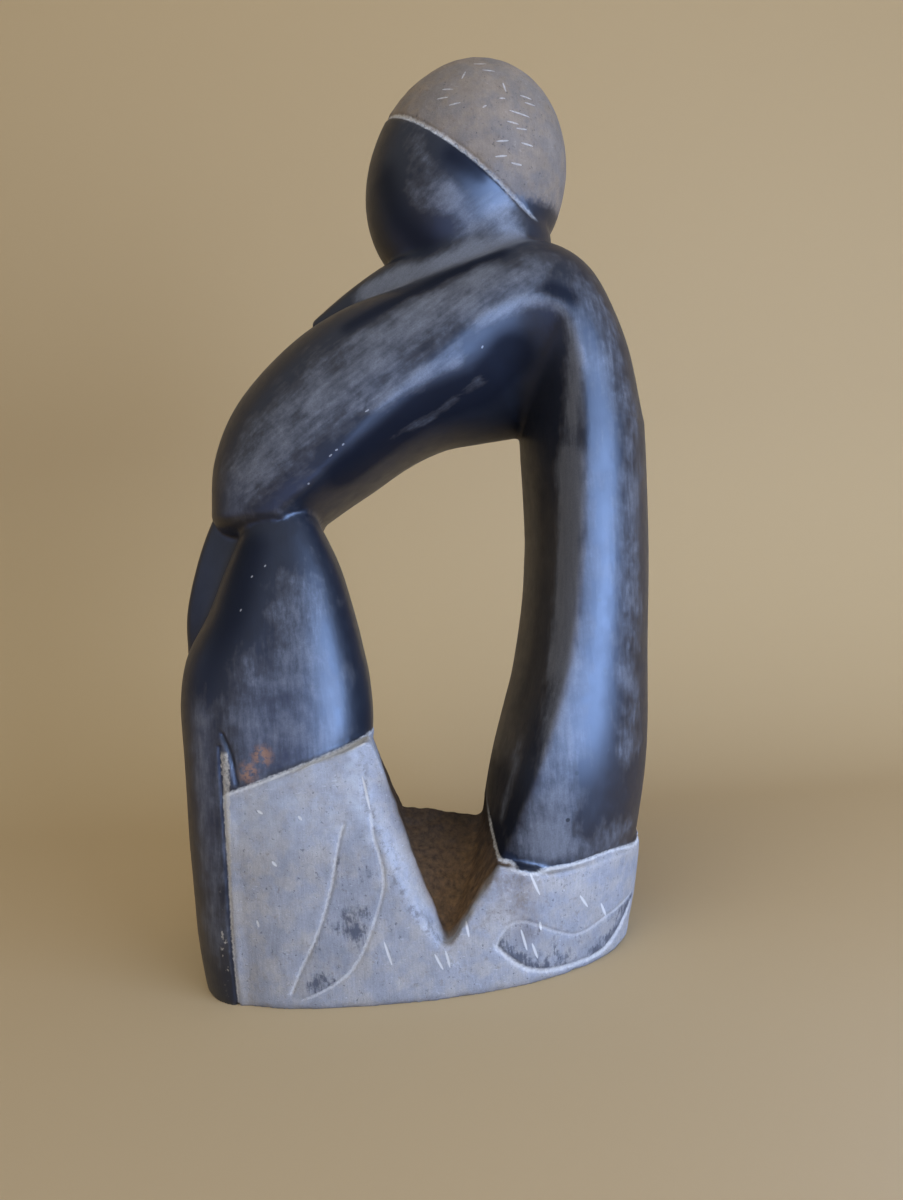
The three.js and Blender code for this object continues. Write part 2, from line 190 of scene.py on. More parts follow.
def limb_rails(u):
    """The four rails' values at u: torso up to the first share, shoulder up to the second, then arm."""
    first, second = LIMB_SHARES
    pieces = ((TORSO, u / first), (SHOULDER, (u - first) / (second - first)),
              (ARM, (u - second) / (1 - second)))
    which = (u >= first).astype(int) + (u >= second)
    return [np.select([which[..., None] == k for k in range(3)], [rails[i](t) for rails, t in pieces])
            for i in range(4)]


def limb_surface(a, t):
    """Section: from the crest a share |cos|^p of the way to an edge, and half depth times |sin|^p
    across, with p = 2 over a power: 2.3 outside, and towards the hole 1.3 on the flat torso and 1.8
    on the rounder arms. A Gaussian furrow parts the arms."""
    u, shrink, reach = capped(t, 0.06)
    inner, crest, outer, half = limb_rails(u)
    c, s = np.cos(2 * np.pi * a), np.sin(2 * np.pi * a)
    inner_power = TORSO_INNER_POWER + (ARM_INNER_POWER - TORSO_INNER_POWER) * smoothstep(u, 0.56, 0.8)
    power = 2 / np.where(c > 0, OUTER_POWER, inner_power)
    edge = np.where((c > 0)[..., None], outer, inner)
    profile = crest + (edge - crest) * (np.abs(c) ** power)[..., None]
    y = half[..., 0] * signed_power(s, power)
    inward = (inner - outer) / np.linalg.norm(inner - outer, axis=-1, keepdims=True)
    grown = np.clip((u - LIMB_SHARES[0]) / (LIMB_SHARES[1] - LIMB_SHARES[0]), 0, 1)
    spread = FURROW_WIDE + (FURROW_NARROW - FURROW_WIDE) * smoothstep(u, 0.66, 0.86)
    furrow = np.where(c > 0, FURROW_DEPTH * grown * np.exp(-((y / spread) ** 2)), 0)
    profile = profile + inward * furrow[..., None]
    middle = (inner + outer) / 2
    profile = middle + (profile - middle) * shrink[..., None]
    onwards = np.stack([inward[..., 1], -inward[..., 0]], -1)
    profile = profile + onwards * (np.where(u > 0.5, HAND_REACH, 0) * reach)[..., None]
    return np.stack([profile[..., 0], y * shrink, profile[..., 1]], -1)


add_form("torso, shoulder and arms", limb_surface, 200, 420)

# %% [markdown]
# ## Head, neck and legs
#
# The head is a plain egg with no face. It leans back as it rises, so it is a sphere with two
# different half heights and a small shear. The neck is a wedge that sinks between the arms. The two
# legs were left joined, with a groove for the shins and one knee further forward than the other.

# %% Head
CROWN_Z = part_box(FIGURE)[1].z / MM
HEAD_CENTRE = (18.8, 170.0)
HEAD_HALF_WIDTH, HEAD_HALF_DEPTH = 22.6, 20.0
HEAD_CHIN, HEAD_LEAN = 24.0, 0.13


def head_surface(a, t):
    """Egg: level is cos(pi t), ring is sin(pi t), and x leans by 0.13 of the rise."""
    level, ring = np.cos(np.pi * t), np.sin(np.pi * t)
    rise = level * np.where(level > 0, CROWN_Z - HEAD_CENTRE[1], HEAD_CHIN)
    x = HEAD_CENTRE[0] + HEAD_LEAN * rise + HEAD_HALF_WIDTH * ring * np.cos(2 * np.pi * a)
    return np.stack([x, HEAD_HALF_DEPTH * ring * np.sin(2 * np.pi * a), HEAD_CENTRE[1] + rise], -1)


add_form("head", head_surface, 220, 140)

# %% Neck and its wedge
NECK_CENTRE, NECK_HALVES = (24.5, 0.0, 156.0), (12.5, 16.8, 9.0)


def neck_surface(a, t):
    """Egg that fills the joint under the ear: sin and cos of the two angles times the half sizes."""
    ring = np.sin(np.pi * t)
    unit = np.stack([ring * np.cos(2 * np.pi * a), ring * np.sin(2 * np.pi * a), np.cos(np.pi * t)], -1)
    return unit * NECK_HALVES + NECK_CENTRE


add_form("neck", neck_surface, 120, 80)

WEDGE = rail([(37, 152, 10), (29, 157.4, 17), (19, 157.2, 17.4), (10, 155.8, 15.4), (0.4, 153.2, 11.6),
              (-8.9, 148.8, 8), (-18, 143.4, 3.6)])
WEDGE_AXIS_Z, WEDGE_DROP, WEDGE_POWER = 140, 8, 4


def wedge_surface(a, t):
    """Superellipse of power 4 across the figure, whose top, half width and place follow a rail."""
    u, shrink, _ = capped(t, 0.08)
    x, top, half = np.moveaxis(WEDGE(u), -1, 0)
    c, s = np.cos(2 * np.pi * a), np.sin(2 * np.pi * a)
    height = np.where(c > 0, top - WEDGE_AXIS_Z, WEDGE_DROP)
    y = half * signed_power(s, 2 / WEDGE_POWER) * shrink
    return np.stack([x, y, WEDGE_AXIS_Z + height * signed_power(c, 2 / WEDGE_POWER) * shrink], -1)


add_form("neck wedge", wedge_surface, 120, 120)

# %% Legs
LEGS = rail([
    (0, -52, -52, -20, 31),
    (12, -53.3, -53.3, -18, 31.2),
    (30, -53.8, -53.8, -13, 30),
    (50, -54, -54, -9.2, 28.4),
    (61, -53.8, -54, -8.7, 27.4),
    (70, -51.6, -54, -9.8, 26.2),
    (79, -46, -53.4, -11.4, 24.6),
    (88, -41.7, -50.8, -13.5, 22.8),
    (98, -36.5, -46.6, -17.5, 20),
    (108, -34, -41, -22, 15),
])
LEG_CREST_SHARE = 0.47
SHIN_POWER, HOLE_POWER = 2.6, 3.5
SHIN_GROOVE_DEPTH, SHIN_GROOVE_SPREAD, SHIN_GROOVE_Y = 2.6, 3.0, -7.0
CALF_DRAFT, CALF_DRAFT_FROM_Y = 0.22, -17.0


def leg_surface(a, t):
    """Superellipse about a crest line, of power 2.6 in front and 3.5 towards the hole. The near knee's
    front takes over from the far one's where y passes the groove."""
    u, shrink, _ = capped(t, 0.04)
    level, near, far, hole, half = np.moveaxis(LEGS(u), -1, 0)
    c, s = np.cos(2 * np.pi * a), np.sin(2 * np.pi * a)
    power = 2 / np.where(c > 0, SHIN_POWER, HOLE_POWER)
    y = half * signed_power(s, power)
    front = far + (near - far) * smoothstep(-y, 4, 11)
    crest = hole + LEG_CREST_SHARE * (front - hole)
    groove = SHIN_GROOVE_DEPTH * np.exp(-(((y - SHIN_GROOVE_Y) / SHIN_GROOVE_SPREAD) ** 2))
    draft = CALF_DRAFT * np.abs(c) * np.maximum(0, y - CALF_DRAFT_FROM_Y)
    x = (np.where(c > 0, front, hole) - crest) * np.abs(c) ** power + np.where(c > 0, groove, -draft)
    return np.stack([crest + x * shrink, y * shrink, level + 0 * y], -1)


add_form("legs", leg_surface, 240, 240)

# %% [markdown]
# ## The garment and the seat
#
# The lower block is a rounded plan with everything above cut away: the sloping hem in front, the
# deep notch under the lap and the low seat behind. Seen from above each of those cuts is a height,
# so the block is a plan wall and a height map. That is easier to read than a chain of booleans,
# and the remesh later cleans the steep walls.

# %% Base plan
PLAN_HEIGHT, PLAN_CENTRE_X = 53.0, -18.0
PLAN = rail([(-53.4, 42.6, 34, 2.2), (-54, 45.4, 33.7, 2.35), (-54, 47, 32.6, 2.5), (-54, 47, 31, 2.5),
             (-53.6, 47, 29.6, 2.5)])
PLAN_FRONT_POWER = 2.6
FOOT_ROUNDING, FOOT_ROUNDING_HEIGHT = 0.7, 1.5
GARMENT_EDGE_X = -40.0
HEM_START, HEM_END = (-40.0, 42.6), (-9.5, 51.8)
HEM_SLOPE = (HEM_END[1] - HEM_START[1]) / (HEM_END[0] - HEM_START[0])


def hem_height(x):
    """The hem is a straight line in the side view."""
    return HEM_START[1] + HEM_SLOPE * (x - HEM_START[0])


def plan_wall(angle, z):
    """Superellipse ahead of and behind the centre, whose reaches follow the height."""
    front, back, half, back_power = np.moveaxis(PLAN(z / PLAN_HEIGHT), -1, 0)
    c, s = np.cos(angle), np.sin(angle)
    rounding = FOOT_ROUNDING * np.maximum(0, 1 - z / FOOT_ROUNDING_HEIGHT) ** 2
    power = 2 / np.where(c > 0, back_power, PLAN_FRONT_POWER)
    reach = np.abs(np.where(c > 0, back, front) - PLAN_CENTRE_X) - rounding
    x = PLAN_CENTRE_X + reach * signed_power(c, power)
    return np.maximum(x, GARMENT_EDGE_X), (half - rounding) * signed_power(s, power)


# %% Height of the garment at a place
NOTCH_Y = (-35, -28.5, -15, 0, 15, 28, 37)
NOTCH_FOOT_LEFT = ((1.2, 10.8), (3.4, 11), (-3.2, 21.6), (-7.6, 30.6), (-8.4, 23), (-6, 11), (-8, 9))
NOTCH_FOOT_RIGHT = ((4.8, 11.2), (4.2, 10.8), (8.4, 20.4), (10.8, 27.6), (8.4, 20.4), (4.2, 10.8),
                    (5.6, 9.8))
NOTCH_RISE = ((16.6, 25), (15, 25.4), (13.6, 27.4), (12, 28.6), (13.6, 27.4), (15, 25.4), (17, 25))
NOTCH_TOP_X = (-28.4, -11, -13, -16.5, -20.5, -26, -30)
NOTCH_TOP_Z = 60.0
SEAT = ((25, 22.4), (80, 21.4))


def garment_height(x, y):
    """The lower of the hem's line and the notch's profile, a chain of straight lines in x whose
    corners slide with y."""
    corner = [(np.interp(y, NOTCH_Y, NOTCH_TOP_X), NOTCH_TOP_Z)]
    for row in (NOTCH_FOOT_LEFT, NOTCH_FOOT_RIGHT, NOTCH_RISE):
        row = np.array(row)
        corner.append((np.interp(y, NOTCH_Y, row[:, 0]), np.interp(y, NOTCH_Y, row[:, 1])))
    corner += [(x0 + 0 * y, z0) for x0, z0 in SEAT]
    height = np.full_like(x, NOTCH_TOP_Z)
    for (x0, z0), (x1, z1) in zip(corner, corner[1:]):
        height = np.where(x >= x0, z0 + (z1 - z0) * np.clip((x - x0) / (x1 - x0), 0, 1), height)
    return np.minimum(height, hem_height(x))


# %% Garment block
UNDERSIDE_SHARE, WALL_SHARE = 0.1, 0.5
RIM_GUESS_Z, RIM_ROUNDS = 25, 6


def garment_surface(a, t):
    """From the middle of the underside out to the rim, up the wall, and back in over the top. The
    wall leans, so where it meets the top is found in a few rounds."""
    angle = 2 * np.pi * a
    rim_z = RIM_GUESS_Z + 0 * a
    for _ in range(RIM_ROUNDS):
        rim_z = np.clip(garment_height(*plan_wall(angle, rim_z)), 1, PLAN_HEIGHT)
    wall_z = rim_z * np.clip((t - UNDERSIDE_SHARE) / (WALL_SHARE - UNDERSIDE_SHARE), 0, 1)
    x, y = plan_wall(angle, wall_z)
    share = np.where(t < WALL_SHARE, np.minimum(t / UNDERSIDE_SHARE, 1), (1 - t) / (1 - WALL_SHARE))
    x = PLAN_CENTRE_X + share * (x - PLAN_CENTRE_X)
    y = share * y
    z = np.where(t < UNDERSIDE_SHARE, 0, np.where(t < WALL_SHARE, wall_z, garment_height(x, y)))
    return np.stack([x, y, z], -1)


add_form("garment and seat", garment_surface, 720, 480)

# %% [markdown]
# ## One block of stone
#
# So far these are six closed skins that run through each other. A real block has one skin. A
# boolean union would leave knife-sharp joints, but a Voxel Remesh fills everything that any skin
# encloses and wraps it once, at a grain fine enough for chisel marks.

# %% Wrap the forms in one skin
VOXEL = 0.5


def mesh_from(name, points, faces):
    """A new mesh object from an array of points in mm and a list of faces."""
    mesh = bpy.data.meshes.new(name)
    mesh.from_pydata(np.asarray(points) * MM, [], faces)
    mesh.update()
    thing = bpy.data.objects.new(name, mesh)
    bpy.context.scene.collection.objects.link(thing)
    return thing


def with_modifiers(thing):
    """A copy of the object's mesh with its modifiers worked in; the modifiers come off."""
    graph = bpy.context.evaluated_depsgraph_get()
    mesh = bpy.data.meshes.new_from_object(thing.evaluated_get(graph))
    thing.modifiers.clear()
    thing.data = mesh
    return mesh


figure = mesh_from("stone_thinker", np.vstack(piece_points), piece_faces)
wrap = figure.modifiers.new("one skin", "REMESH")
wrap.mode = "VOXEL"
wrap.voxel_size = VOXEL * MM
with_modifiers(figure)
print("one skin:", len(figure.data.vertices), "points,", len(figure.data.polygons), "faces")

# %% [markdown]
# ## Relax the skin
#
# The remesh leaves tiny steps, and the joints between forms are still as sharp as the voxels. On
# the real carving sandpaper rounded both. Moving each point a part of the way to the mean of its
# neighbours does the same. A step back after each step forward keeps the forms from shrinking.
# Under the ears, where the rasp ran out against the neck, the joint is rounded much further.

# %% Relax
points = np.empty(len(figure.data.vertices) * 3)
figure.data.vertices.foreach_get("co", points)
points = points.reshape(-1, 3) / MM
edges = np.empty(len(figure.data.edges) * 2, np.int64)
figure.data.edges.foreach_get("vertices", edges)
edges = edges.reshape(-1, 2)
neighbours = np.bincount(edges.ravel(), minlength=len(points))


def neighbour_mean(values):
    """Mean of a value over each point's neighbours: sums gathered along the edges, over the count."""
    one, other = edges.T
    sums = [np.bincount(one, v[other], len(values)) + np.bincount(other, v[one], len(values))
            for v in values.reshape(len(values), -1).T]
    return (np.stack(sums, -1) / neighbours[:, None]).reshape(values.shape)


def relax(points, rounds, forward=0.55, back=-0.56):
    """Taubin smoothing: a step towards the neighbours' mean, then a slightly longer one back."""
    for step in (forward, back) * rounds:
        points = points + step * (neighbour_mean(points) - points)
    return points


def point_normals(points):
    """Unit normals from Blender's own mesh, once the points are in it."""
    figure.data.vertices.foreach_set("co", (points * MM).ravel())
    figure.data.update()
    normals = np.empty(len(points) * 3)
    figure.data.vertices.foreach_get("normal", normals)
    return normals.reshape(-1, 3)


RELAX_ROUNDS, LAST_ROUNDS = 8, 3
FILLET_AT, FILLET_RADIUS, FILLET_ROUNDS = (20.5, 15.5, 158.0), (13.0, 8.0, 5.5), 110
HALF_STEP = 0.5

points = relax(points, RELAX_ROUNDS)
fillet = np.stack([points[:, 0], np.abs(points[:, 1]), points[:, 2]], -1) - FILLET_AT
fillet = np.exp(-((fillet / FILLET_RADIUS) ** 2).sum(1))[:, None]
for _ in range(FILLET_ROUNDS):
    points = points + HALF_STEP * fillet * (neighbour_mean(points) - points)
for _ in range(LAST_ROUNDS):
    points = points + HALF_STEP * (neighbour_mean(points) - points)
normals = point_normals(points)
print("relaxed box in mm:", points.min(0).round(2), points.max(0).round(2))

# %% [markdown]
# ## Where the knife went
#
# The drawing on this carving is a few long strokes: the hairline, the hem, the raised edge beside
# the shins, the bevel, the waist, and two leaves. Each is a curve in the side view. A signed distance
# says how far a point is from the stroke and on which side. It serves twice: the groove here is cut
# by it, and the chalky colour later sits where it is near zero.

# %% Strokes in the side view (X and Z in mm)
HAIRLINE_SLOPE, HAIRLINE_LEVEL = -0.888, 186.83
WAIST = ((12.2, 33.6), (14, 27.8), (15.4, 25.6), (17.4, 24.9), (19.3, 23.5), (23.3, 22.6), (31.3, 22.8),
         (38.6, 23.4), (44.6, 21.8), (48, 21.4))
LEAF_FRONT = ((-14.8, 36.3), (-16.1, 33), (-18.5, 23.3), (-21.7, 15), (-25.5, 8.1), (-27.8, 3.5))
LEAF_BACK = ((-9.4, 38.4), (-9.2, 33.8), (-7.7, 25.9), (-9, 19.7), (-13.2, 10.4), (-17.8, 5.6),
             (-25.5, 1.9))
SEAT_LEAF_LOW = ((13.5, 9.2), (17.8, 4.5), (22.9, 2.2), (32.6, 1.6), (38, 3.4), (43.1, 9.1))
SEAT_LEAF_HIGH = ((13.5, 9.6), (16.1, 13.2), (20.1, 13.2), (26.2, 9.6), (30.5, 8), (36.8, 9.6), (43, 11))
EDGE_CUT = ((-39.2, 55), (-38.2, 52.7), (-37.4, 50.2), (-36.6, 45))
BEVEL = ((-10.9, 49.5), (-10.5, 44.4), (-9.7, 38.9), (-7.9, 34.6), (-6.3, 30.1), (-5.1, 25), (-4, 21.1),
         (-1.9, 17.7), (0.6, 13.9), (2.4, 11.4))
FAR, STROKE_BAND = 99.0, 32


def traced(curve, steps=48):
    """A stroke's smooth curve as a row of points."""
    return rail(curve)(np.linspace(0, 1, steps))


def signed_distance(starts, ends, points):
    """Distance in the side view to the nearest of some straight pieces. Its sign tells the side."""
    flat, step = points[:, (0, 2)], ends - starts
    gap = flat[:, None] - starts
    share = np.clip((gap * step).sum(-1) / (step**2).sum(-1), 0, 1)
    gap = gap - share[..., None] * step
    away = np.linalg.norm(gap, axis=-1)
    nearest = away.argmin(1)
    which = np.arange(len(points)), nearest
    side = step[nearest, 0] * gap[which][:, 1] - step[nearest, 1] * gap[which][:, 0]
    return np.where(side < 0, -1, 1) * away[which]


def level_to(curve, points):
    """Signed distance to a curve for the points in its band of heights, and far for the others."""
    row = traced(curve)
    level = np.full(len(points), FAR)
    band = np.abs(points[:, 2] - row[:, 1].mean()) < STROKE_BAND
    level[band] = signed_distance(row[:-1], row[1:], points[band])
    return level


def hair_level(points):
    """Signed distance above the hairline's plane, which leans back across the head."""
    x, _, z = points.T
    return (z - HAIRLINE_LEVEL - HAIRLINE_SLOPE * x) / math.hypot(1, HAIRLINE_SLOPE)


def on_head(points):
    """1 on the egg's own skin and 0 away from it."""
    x, y, z = points.T
    rise = z - HEAD_CENTRE[1]
    half = np.where(rise > 0, CROWN_Z - HEAD_CENTRE[1], HEAD_CHIN)
    ball = ((x - HEAD_CENTRE[0] - HEAD_LEAN * rise) / HEAD_HALF_WIDTH) ** 2 + (y / HEAD_HALF_DEPTH) ** 2
    return smoothstep(-(ball + (rise / half) ** 2), -1.12, -1.04)


def stroke_levels(points):
    """Every stroke's signed distance by name."""
    x, _, z = points.T
    return {
        "hair_mm": hair_level(points),
        "hem_mm": (z - hem_height(x)) / math.hypot(1, HEM_SLOPE),
        "edge_mm": x - GARMENT_EDGE_X,
        "waist_mm": level_to(WAIST, points),
        "leaf_front_mm": level_to(LEAF_FRONT, points),
        "leaf_back_mm": level_to(LEAF_BACK, points),
        "seat_low_mm": level_to(SEAT_LEAF_LOW, points),
        "seat_high_mm": level_to(SEAT_LEAF_HIGH, points),
        "edge_cut_mm": level_to(EDGE_CUT, points),
        "bevel_mm": level_to(BEVEL, points),
    }


longest = traced(LEAF_BACK)
print("longest leaf stroke in mm:", round(float(np.linalg.norm(np.diff(longest, axis=0), axis=1).sum()), 1))

# %% Cut the grooves


def groove(distance, width, depth):
    """A V with a soft bottom: depth at the line, nothing from half the width on."""
    w = np.clip(1 - np.abs(distance) / (width / 2), 0, 1)
    return depth * w * w * (3 - 2 * w)


# Width and depth of each groove in mm
GROOVES = {
    "hair_mm": (1.7, 0.4), "hem_mm": (1.2, 0.25), "edge_mm": (1.4, 0.4), "waist_mm": (1.4, 0.3),
    "leaf_front_mm": (1.2, 0.35), "leaf_back_mm": (1.2, 0.35), "seat_low_mm": (1.8, 0.4),
    "seat_high_mm": (1.4, 0.35), "edge_cut_mm": (1.6, 0.5),
}


def patches(points, normals):
    """Where on the skin each stroke holds."""
    x, y, z = points.T
    near = (y < -5) & (normals[:, 1] < 0.15)
    return {
        "hair_mm": on_head(points), "hem_mm": (x > GARMENT_EDGE_X + 0.5) & (x < -10.5) & (z > 40),
        "edge_mm": (z < 53) & (np.abs(y) > 20), "waist_mm": (x > 13) & (z < 30),
        "leaf_front_mm": near, "leaf_back_mm": near, "seat_low_mm": near, "seat_high_mm": near,
        "edge_cut_mm": near,
    }


levels, holds = stroke_levels(points), patches(points, normals)
cut = np.max([groove(levels[name], *size) * holds[name] for name, size in GROOVES.items()], 0)
points = points - normals * cut[:, None]
normals = point_normals(points)
print("points in a groove:", int((cut > 0.05).sum()))

# %% [markdown]
# ## Burnished skin and raw stone
#
# The same stone has two finishes. The skin was rubbed until it closed up, so it only has the slow
# waves of hand work. The hair and the garment were scraped and left open. In front the garment is
# raw below the hem and behind its raised edge. At the seat it is whatever is below the waist or
# stands outside the plain torso, so the torso's section is asked again, as a distance.

# %% Raw or burnished
NAPE_TOP_Z, NAPE_FROM_X = 161.5, 29.0
GARMENT_TOP_Z, RAW_FROM, SEAT_FROM_X, SEAT_LOW_Z = 56.0, 0.45, 12.5, 17.0


def outside_section(x, y, crest, reach, half, power):
    """Distance outside a superellipse, measured from its middle: (r - 1) / r times the radius, where
    r is the sum of the two shares to the power, to one over the power."""
    ring = ((np.abs(x - crest) / reach) ** power + (np.abs(y) / half) ** power) ** (1 / power)
    return (1 - 1 / np.maximum(ring, 0.01)) * np.hypot(x - crest, y)


def outside_torso(points):
    """Distance in mm outside the torso's section. The sections tilt a little, so the place along the
    rails is found in three passes."""
    x, y, z = points.T
    dense = np.linspace(0, 1, 400)
    middle = (TORSO[0](dense)[:, 1] + TORSO[2](dense)[:, 1]) / 2
    tilt = 0
    for _ in range(3):
        inner, crest, outer, half = (one(np.interp(z - tilt, middle, dense)) for one in TORSO)
        share = np.clip((x - inner[:, 0]) / (outer[:, 0] - inner[:, 0]), 0, 1)
        tilt = (share - 0.5) * (outer[:, 1] - inner[:, 1])
    behind = x > crest[:, 0]
    reach = np.abs(np.where(behind, outer[:, 0], inner[:, 0]) - crest[:, 0])
    power = np.where(behind, OUTER_POWER, TORSO_INNER_POWER)
    return outside_section(x, y, crest[:, 0], reach, half[:, 0], power)


def raw_level(points):
    """Signed distance into the raw stone: over the hairline on the head, or in the garment."""
    x, y, z = points.T
    nape = z - NAPE_TOP_Z + 4 * np.maximum(0, NAPE_FROM_X - x)
    hair = np.minimum(hair_level(points), nape) - 30 * (1 - on_head(points))
    front = np.minimum(hem_height(x) - z, x - GARMENT_EDGE_X)
    ledge = outside_torso(points) - RAW_FROM - 5 * smoothstep(-y, 22, 25)
    behind = np.maximum(ledge, np.interp(x, *np.array(WAIST).T) - z)
    behind = np.maximum(behind, SEAT_LOW_Z - z)
    return np.where(z > GARMENT_TOP_Z, hair, np.where(x < SEAT_FROM_X, front, behind))


def grain(points, size, seed):
    """Smooth noise from -1 to 1: random values on a lattice of the given size in mm, blended with
    the weights 3w^2 - 2w^3 between the eight corners round a point."""
    place = points / np.asarray(size, float) + 1000
    low = np.floor(place).astype(int)
    w = place - low
    w = w * w * (3 - 2 * w)
    low -= low.min(0)
    values = np.random.default_rng(seed).uniform(-1, 1, low.max(0) + 2)
    total = 0
    for corner in np.ndindex(2, 2, 2):
        weight = np.prod(np.where(corner, w, 1 - w), axis=1)
        total = total + weight * values[tuple((low + corner).T)]
    return total


def layered(points, layers):
    """Sum of noises, each given by its height in mm, the size of its features in mm and a seed."""
    return sum(height * grain(points, size, seed) for height, size, seed in layers)


# Height, feature size and seed of each layer of relief
WAVES = (0.15, 15, 1), (0.06, 6, 2)
SCRAPE = (0.08, (2.8, 2.8, 4), 3), (0.05, (1.2, 1.2, 2), 4)
CHISEL = (0.3, (5, 1.6, 9), 5), (0.16, (1.6, 1.6, 3), 6)
NIBBLE_DEPTH, NIBBLE_SIZE, NIBBLE_SEED, NIBBLED_HALF_WIDTH = 0.35, (1.8, 1.8, 3.6), 7, 0.8
WAVES_LOST_ON_RAW = 0.4

raw = smoothstep(raw_level(points), -0.2, 0.6)
cut_faces = smoothstep(-np.abs(normals[:, 1]), -0.92, -0.6) * smoothstep(points[:, 2], 9, 13)
hollow = raw * cut_faces * (points[:, 2] < 60) * (np.abs(points[:, 0]) < 24)
waves, scrape, chisel = (layered(points, layers) for layers in (WAVES, SCRAPE, CHISEL))
bevel_edge = np.exp(-((levels["bevel_mm"] / NIBBLED_HALF_WIDTH) ** 2)) * (points[:, 1] < -24)
nibbled = NIBBLE_DEPTH * smoothstep(grain(points, NIBBLE_SIZE, NIBBLE_SEED), 0.0, 0.6) * bevel_edge
relief = waves * (1 - WAVES_LOST_ON_RAW * raw) + scrape * raw + chisel * hollow - nibbled
points = points + normals * relief[:, None]
print("raw share of the skin:", round(float(raw.mean()), 2))

# %% Thin the flat areas and keep inside the CAD box
LOW, HIGH = np.array(CAD_LOW) / MM, np.array(CAD_HIGH) / MM
MOST_TRIANGLES = 192000
INSIDE, FLAT_BELOW = 0.002, 0.25


def kept_inside(points):
    """Points held a hair inside the CAD box, and flat on the ground where they are near it."""
    points = np.clip(points, LOW + INSIDE, HIGH - INSIDE)
    points[:, 2] = np.where(points[:, 2] < FLAT_BELOW, LOW[2], points[:, 2])
    return points


bend = np.einsum("ij,ij->i", normals, points - neighbour_mean(neighbour_mean(neighbour_mean(points))))
point_normals(kept_inside(points))
layer = figure.data.attributes.new("bend", "FLOAT", "POINT")
layer.data.foreach_set("value", bend.astype(np.float32))
thin = figure.modifiers.new("thin", "DECIMATE")
thin.ratio = MOST_TRIANGLES / (2 * len(figure.data.polygons))
with_modifiers(figure)
figure.data.shade_smooth()
points = np.empty(len(figure.data.vertices) * 3)
figure.data.vertices.foreach_get("co", points)
points = kept_inside(points.reshape(-1, 3) / MM)
normals = point_normals(points)
print("kept", len(figure.data.polygons), "triangles")

# %% [markdown]
# ## Notes for the finish
#
# A material can only ask where it is. What it can't work out for itself, such as how far the
# nearest stroke is, is written on the points as named numbers, in mm. They are smooth, so they
# interpolate well, and the material makes them sharp again with a threshold.

# %% Rubs, soot and dirt, with painted highlights and painted shade


def leaf_level(points):
    """Signed distance into a leaf: how far between its two sides, and below zero outside."""
    x, y, z = points.T
    front, back = (traced(curve)[::-1] for curve in (LEAF_FRONT, LEAF_BACK))
    tall = np.minimum(x - np.interp(z, *front.T[::-1]), np.interp(z, *back.T[::-1]) - x)
    tall = np.where((z > 2) & (z < 39), tall, -FAR)
    low, high = (traced(curve) for curve in (SEAT_LEAF_LOW, SEAT_LEAF_HIGH))
    wide = np.minimum(z - np.interp(x, *low.T), np.interp(x, *high.T) - z)
    wide = np.where((x > 13.5) & (x < 43.5), wide, -FAR)
    return np.where(y < -5, np.maximum(tall, wide), -FAR)


def lap_shade_and_dirt_level(points):
    """1 on the lap and the walls of the notch, which are painted in shade with a warm bounced glow over some
    dirt, and 0 outside.
    """
    x, y, z = points.T
    inside = smoothstep(x, -16, -11) * smoothstep(-x, -24, -17)
    inside = inside * smoothstep(z, 8, 11) * smoothstep(-z, -48, -40)
    return inside * smoothstep(-np.abs(y), -30.5, -27)
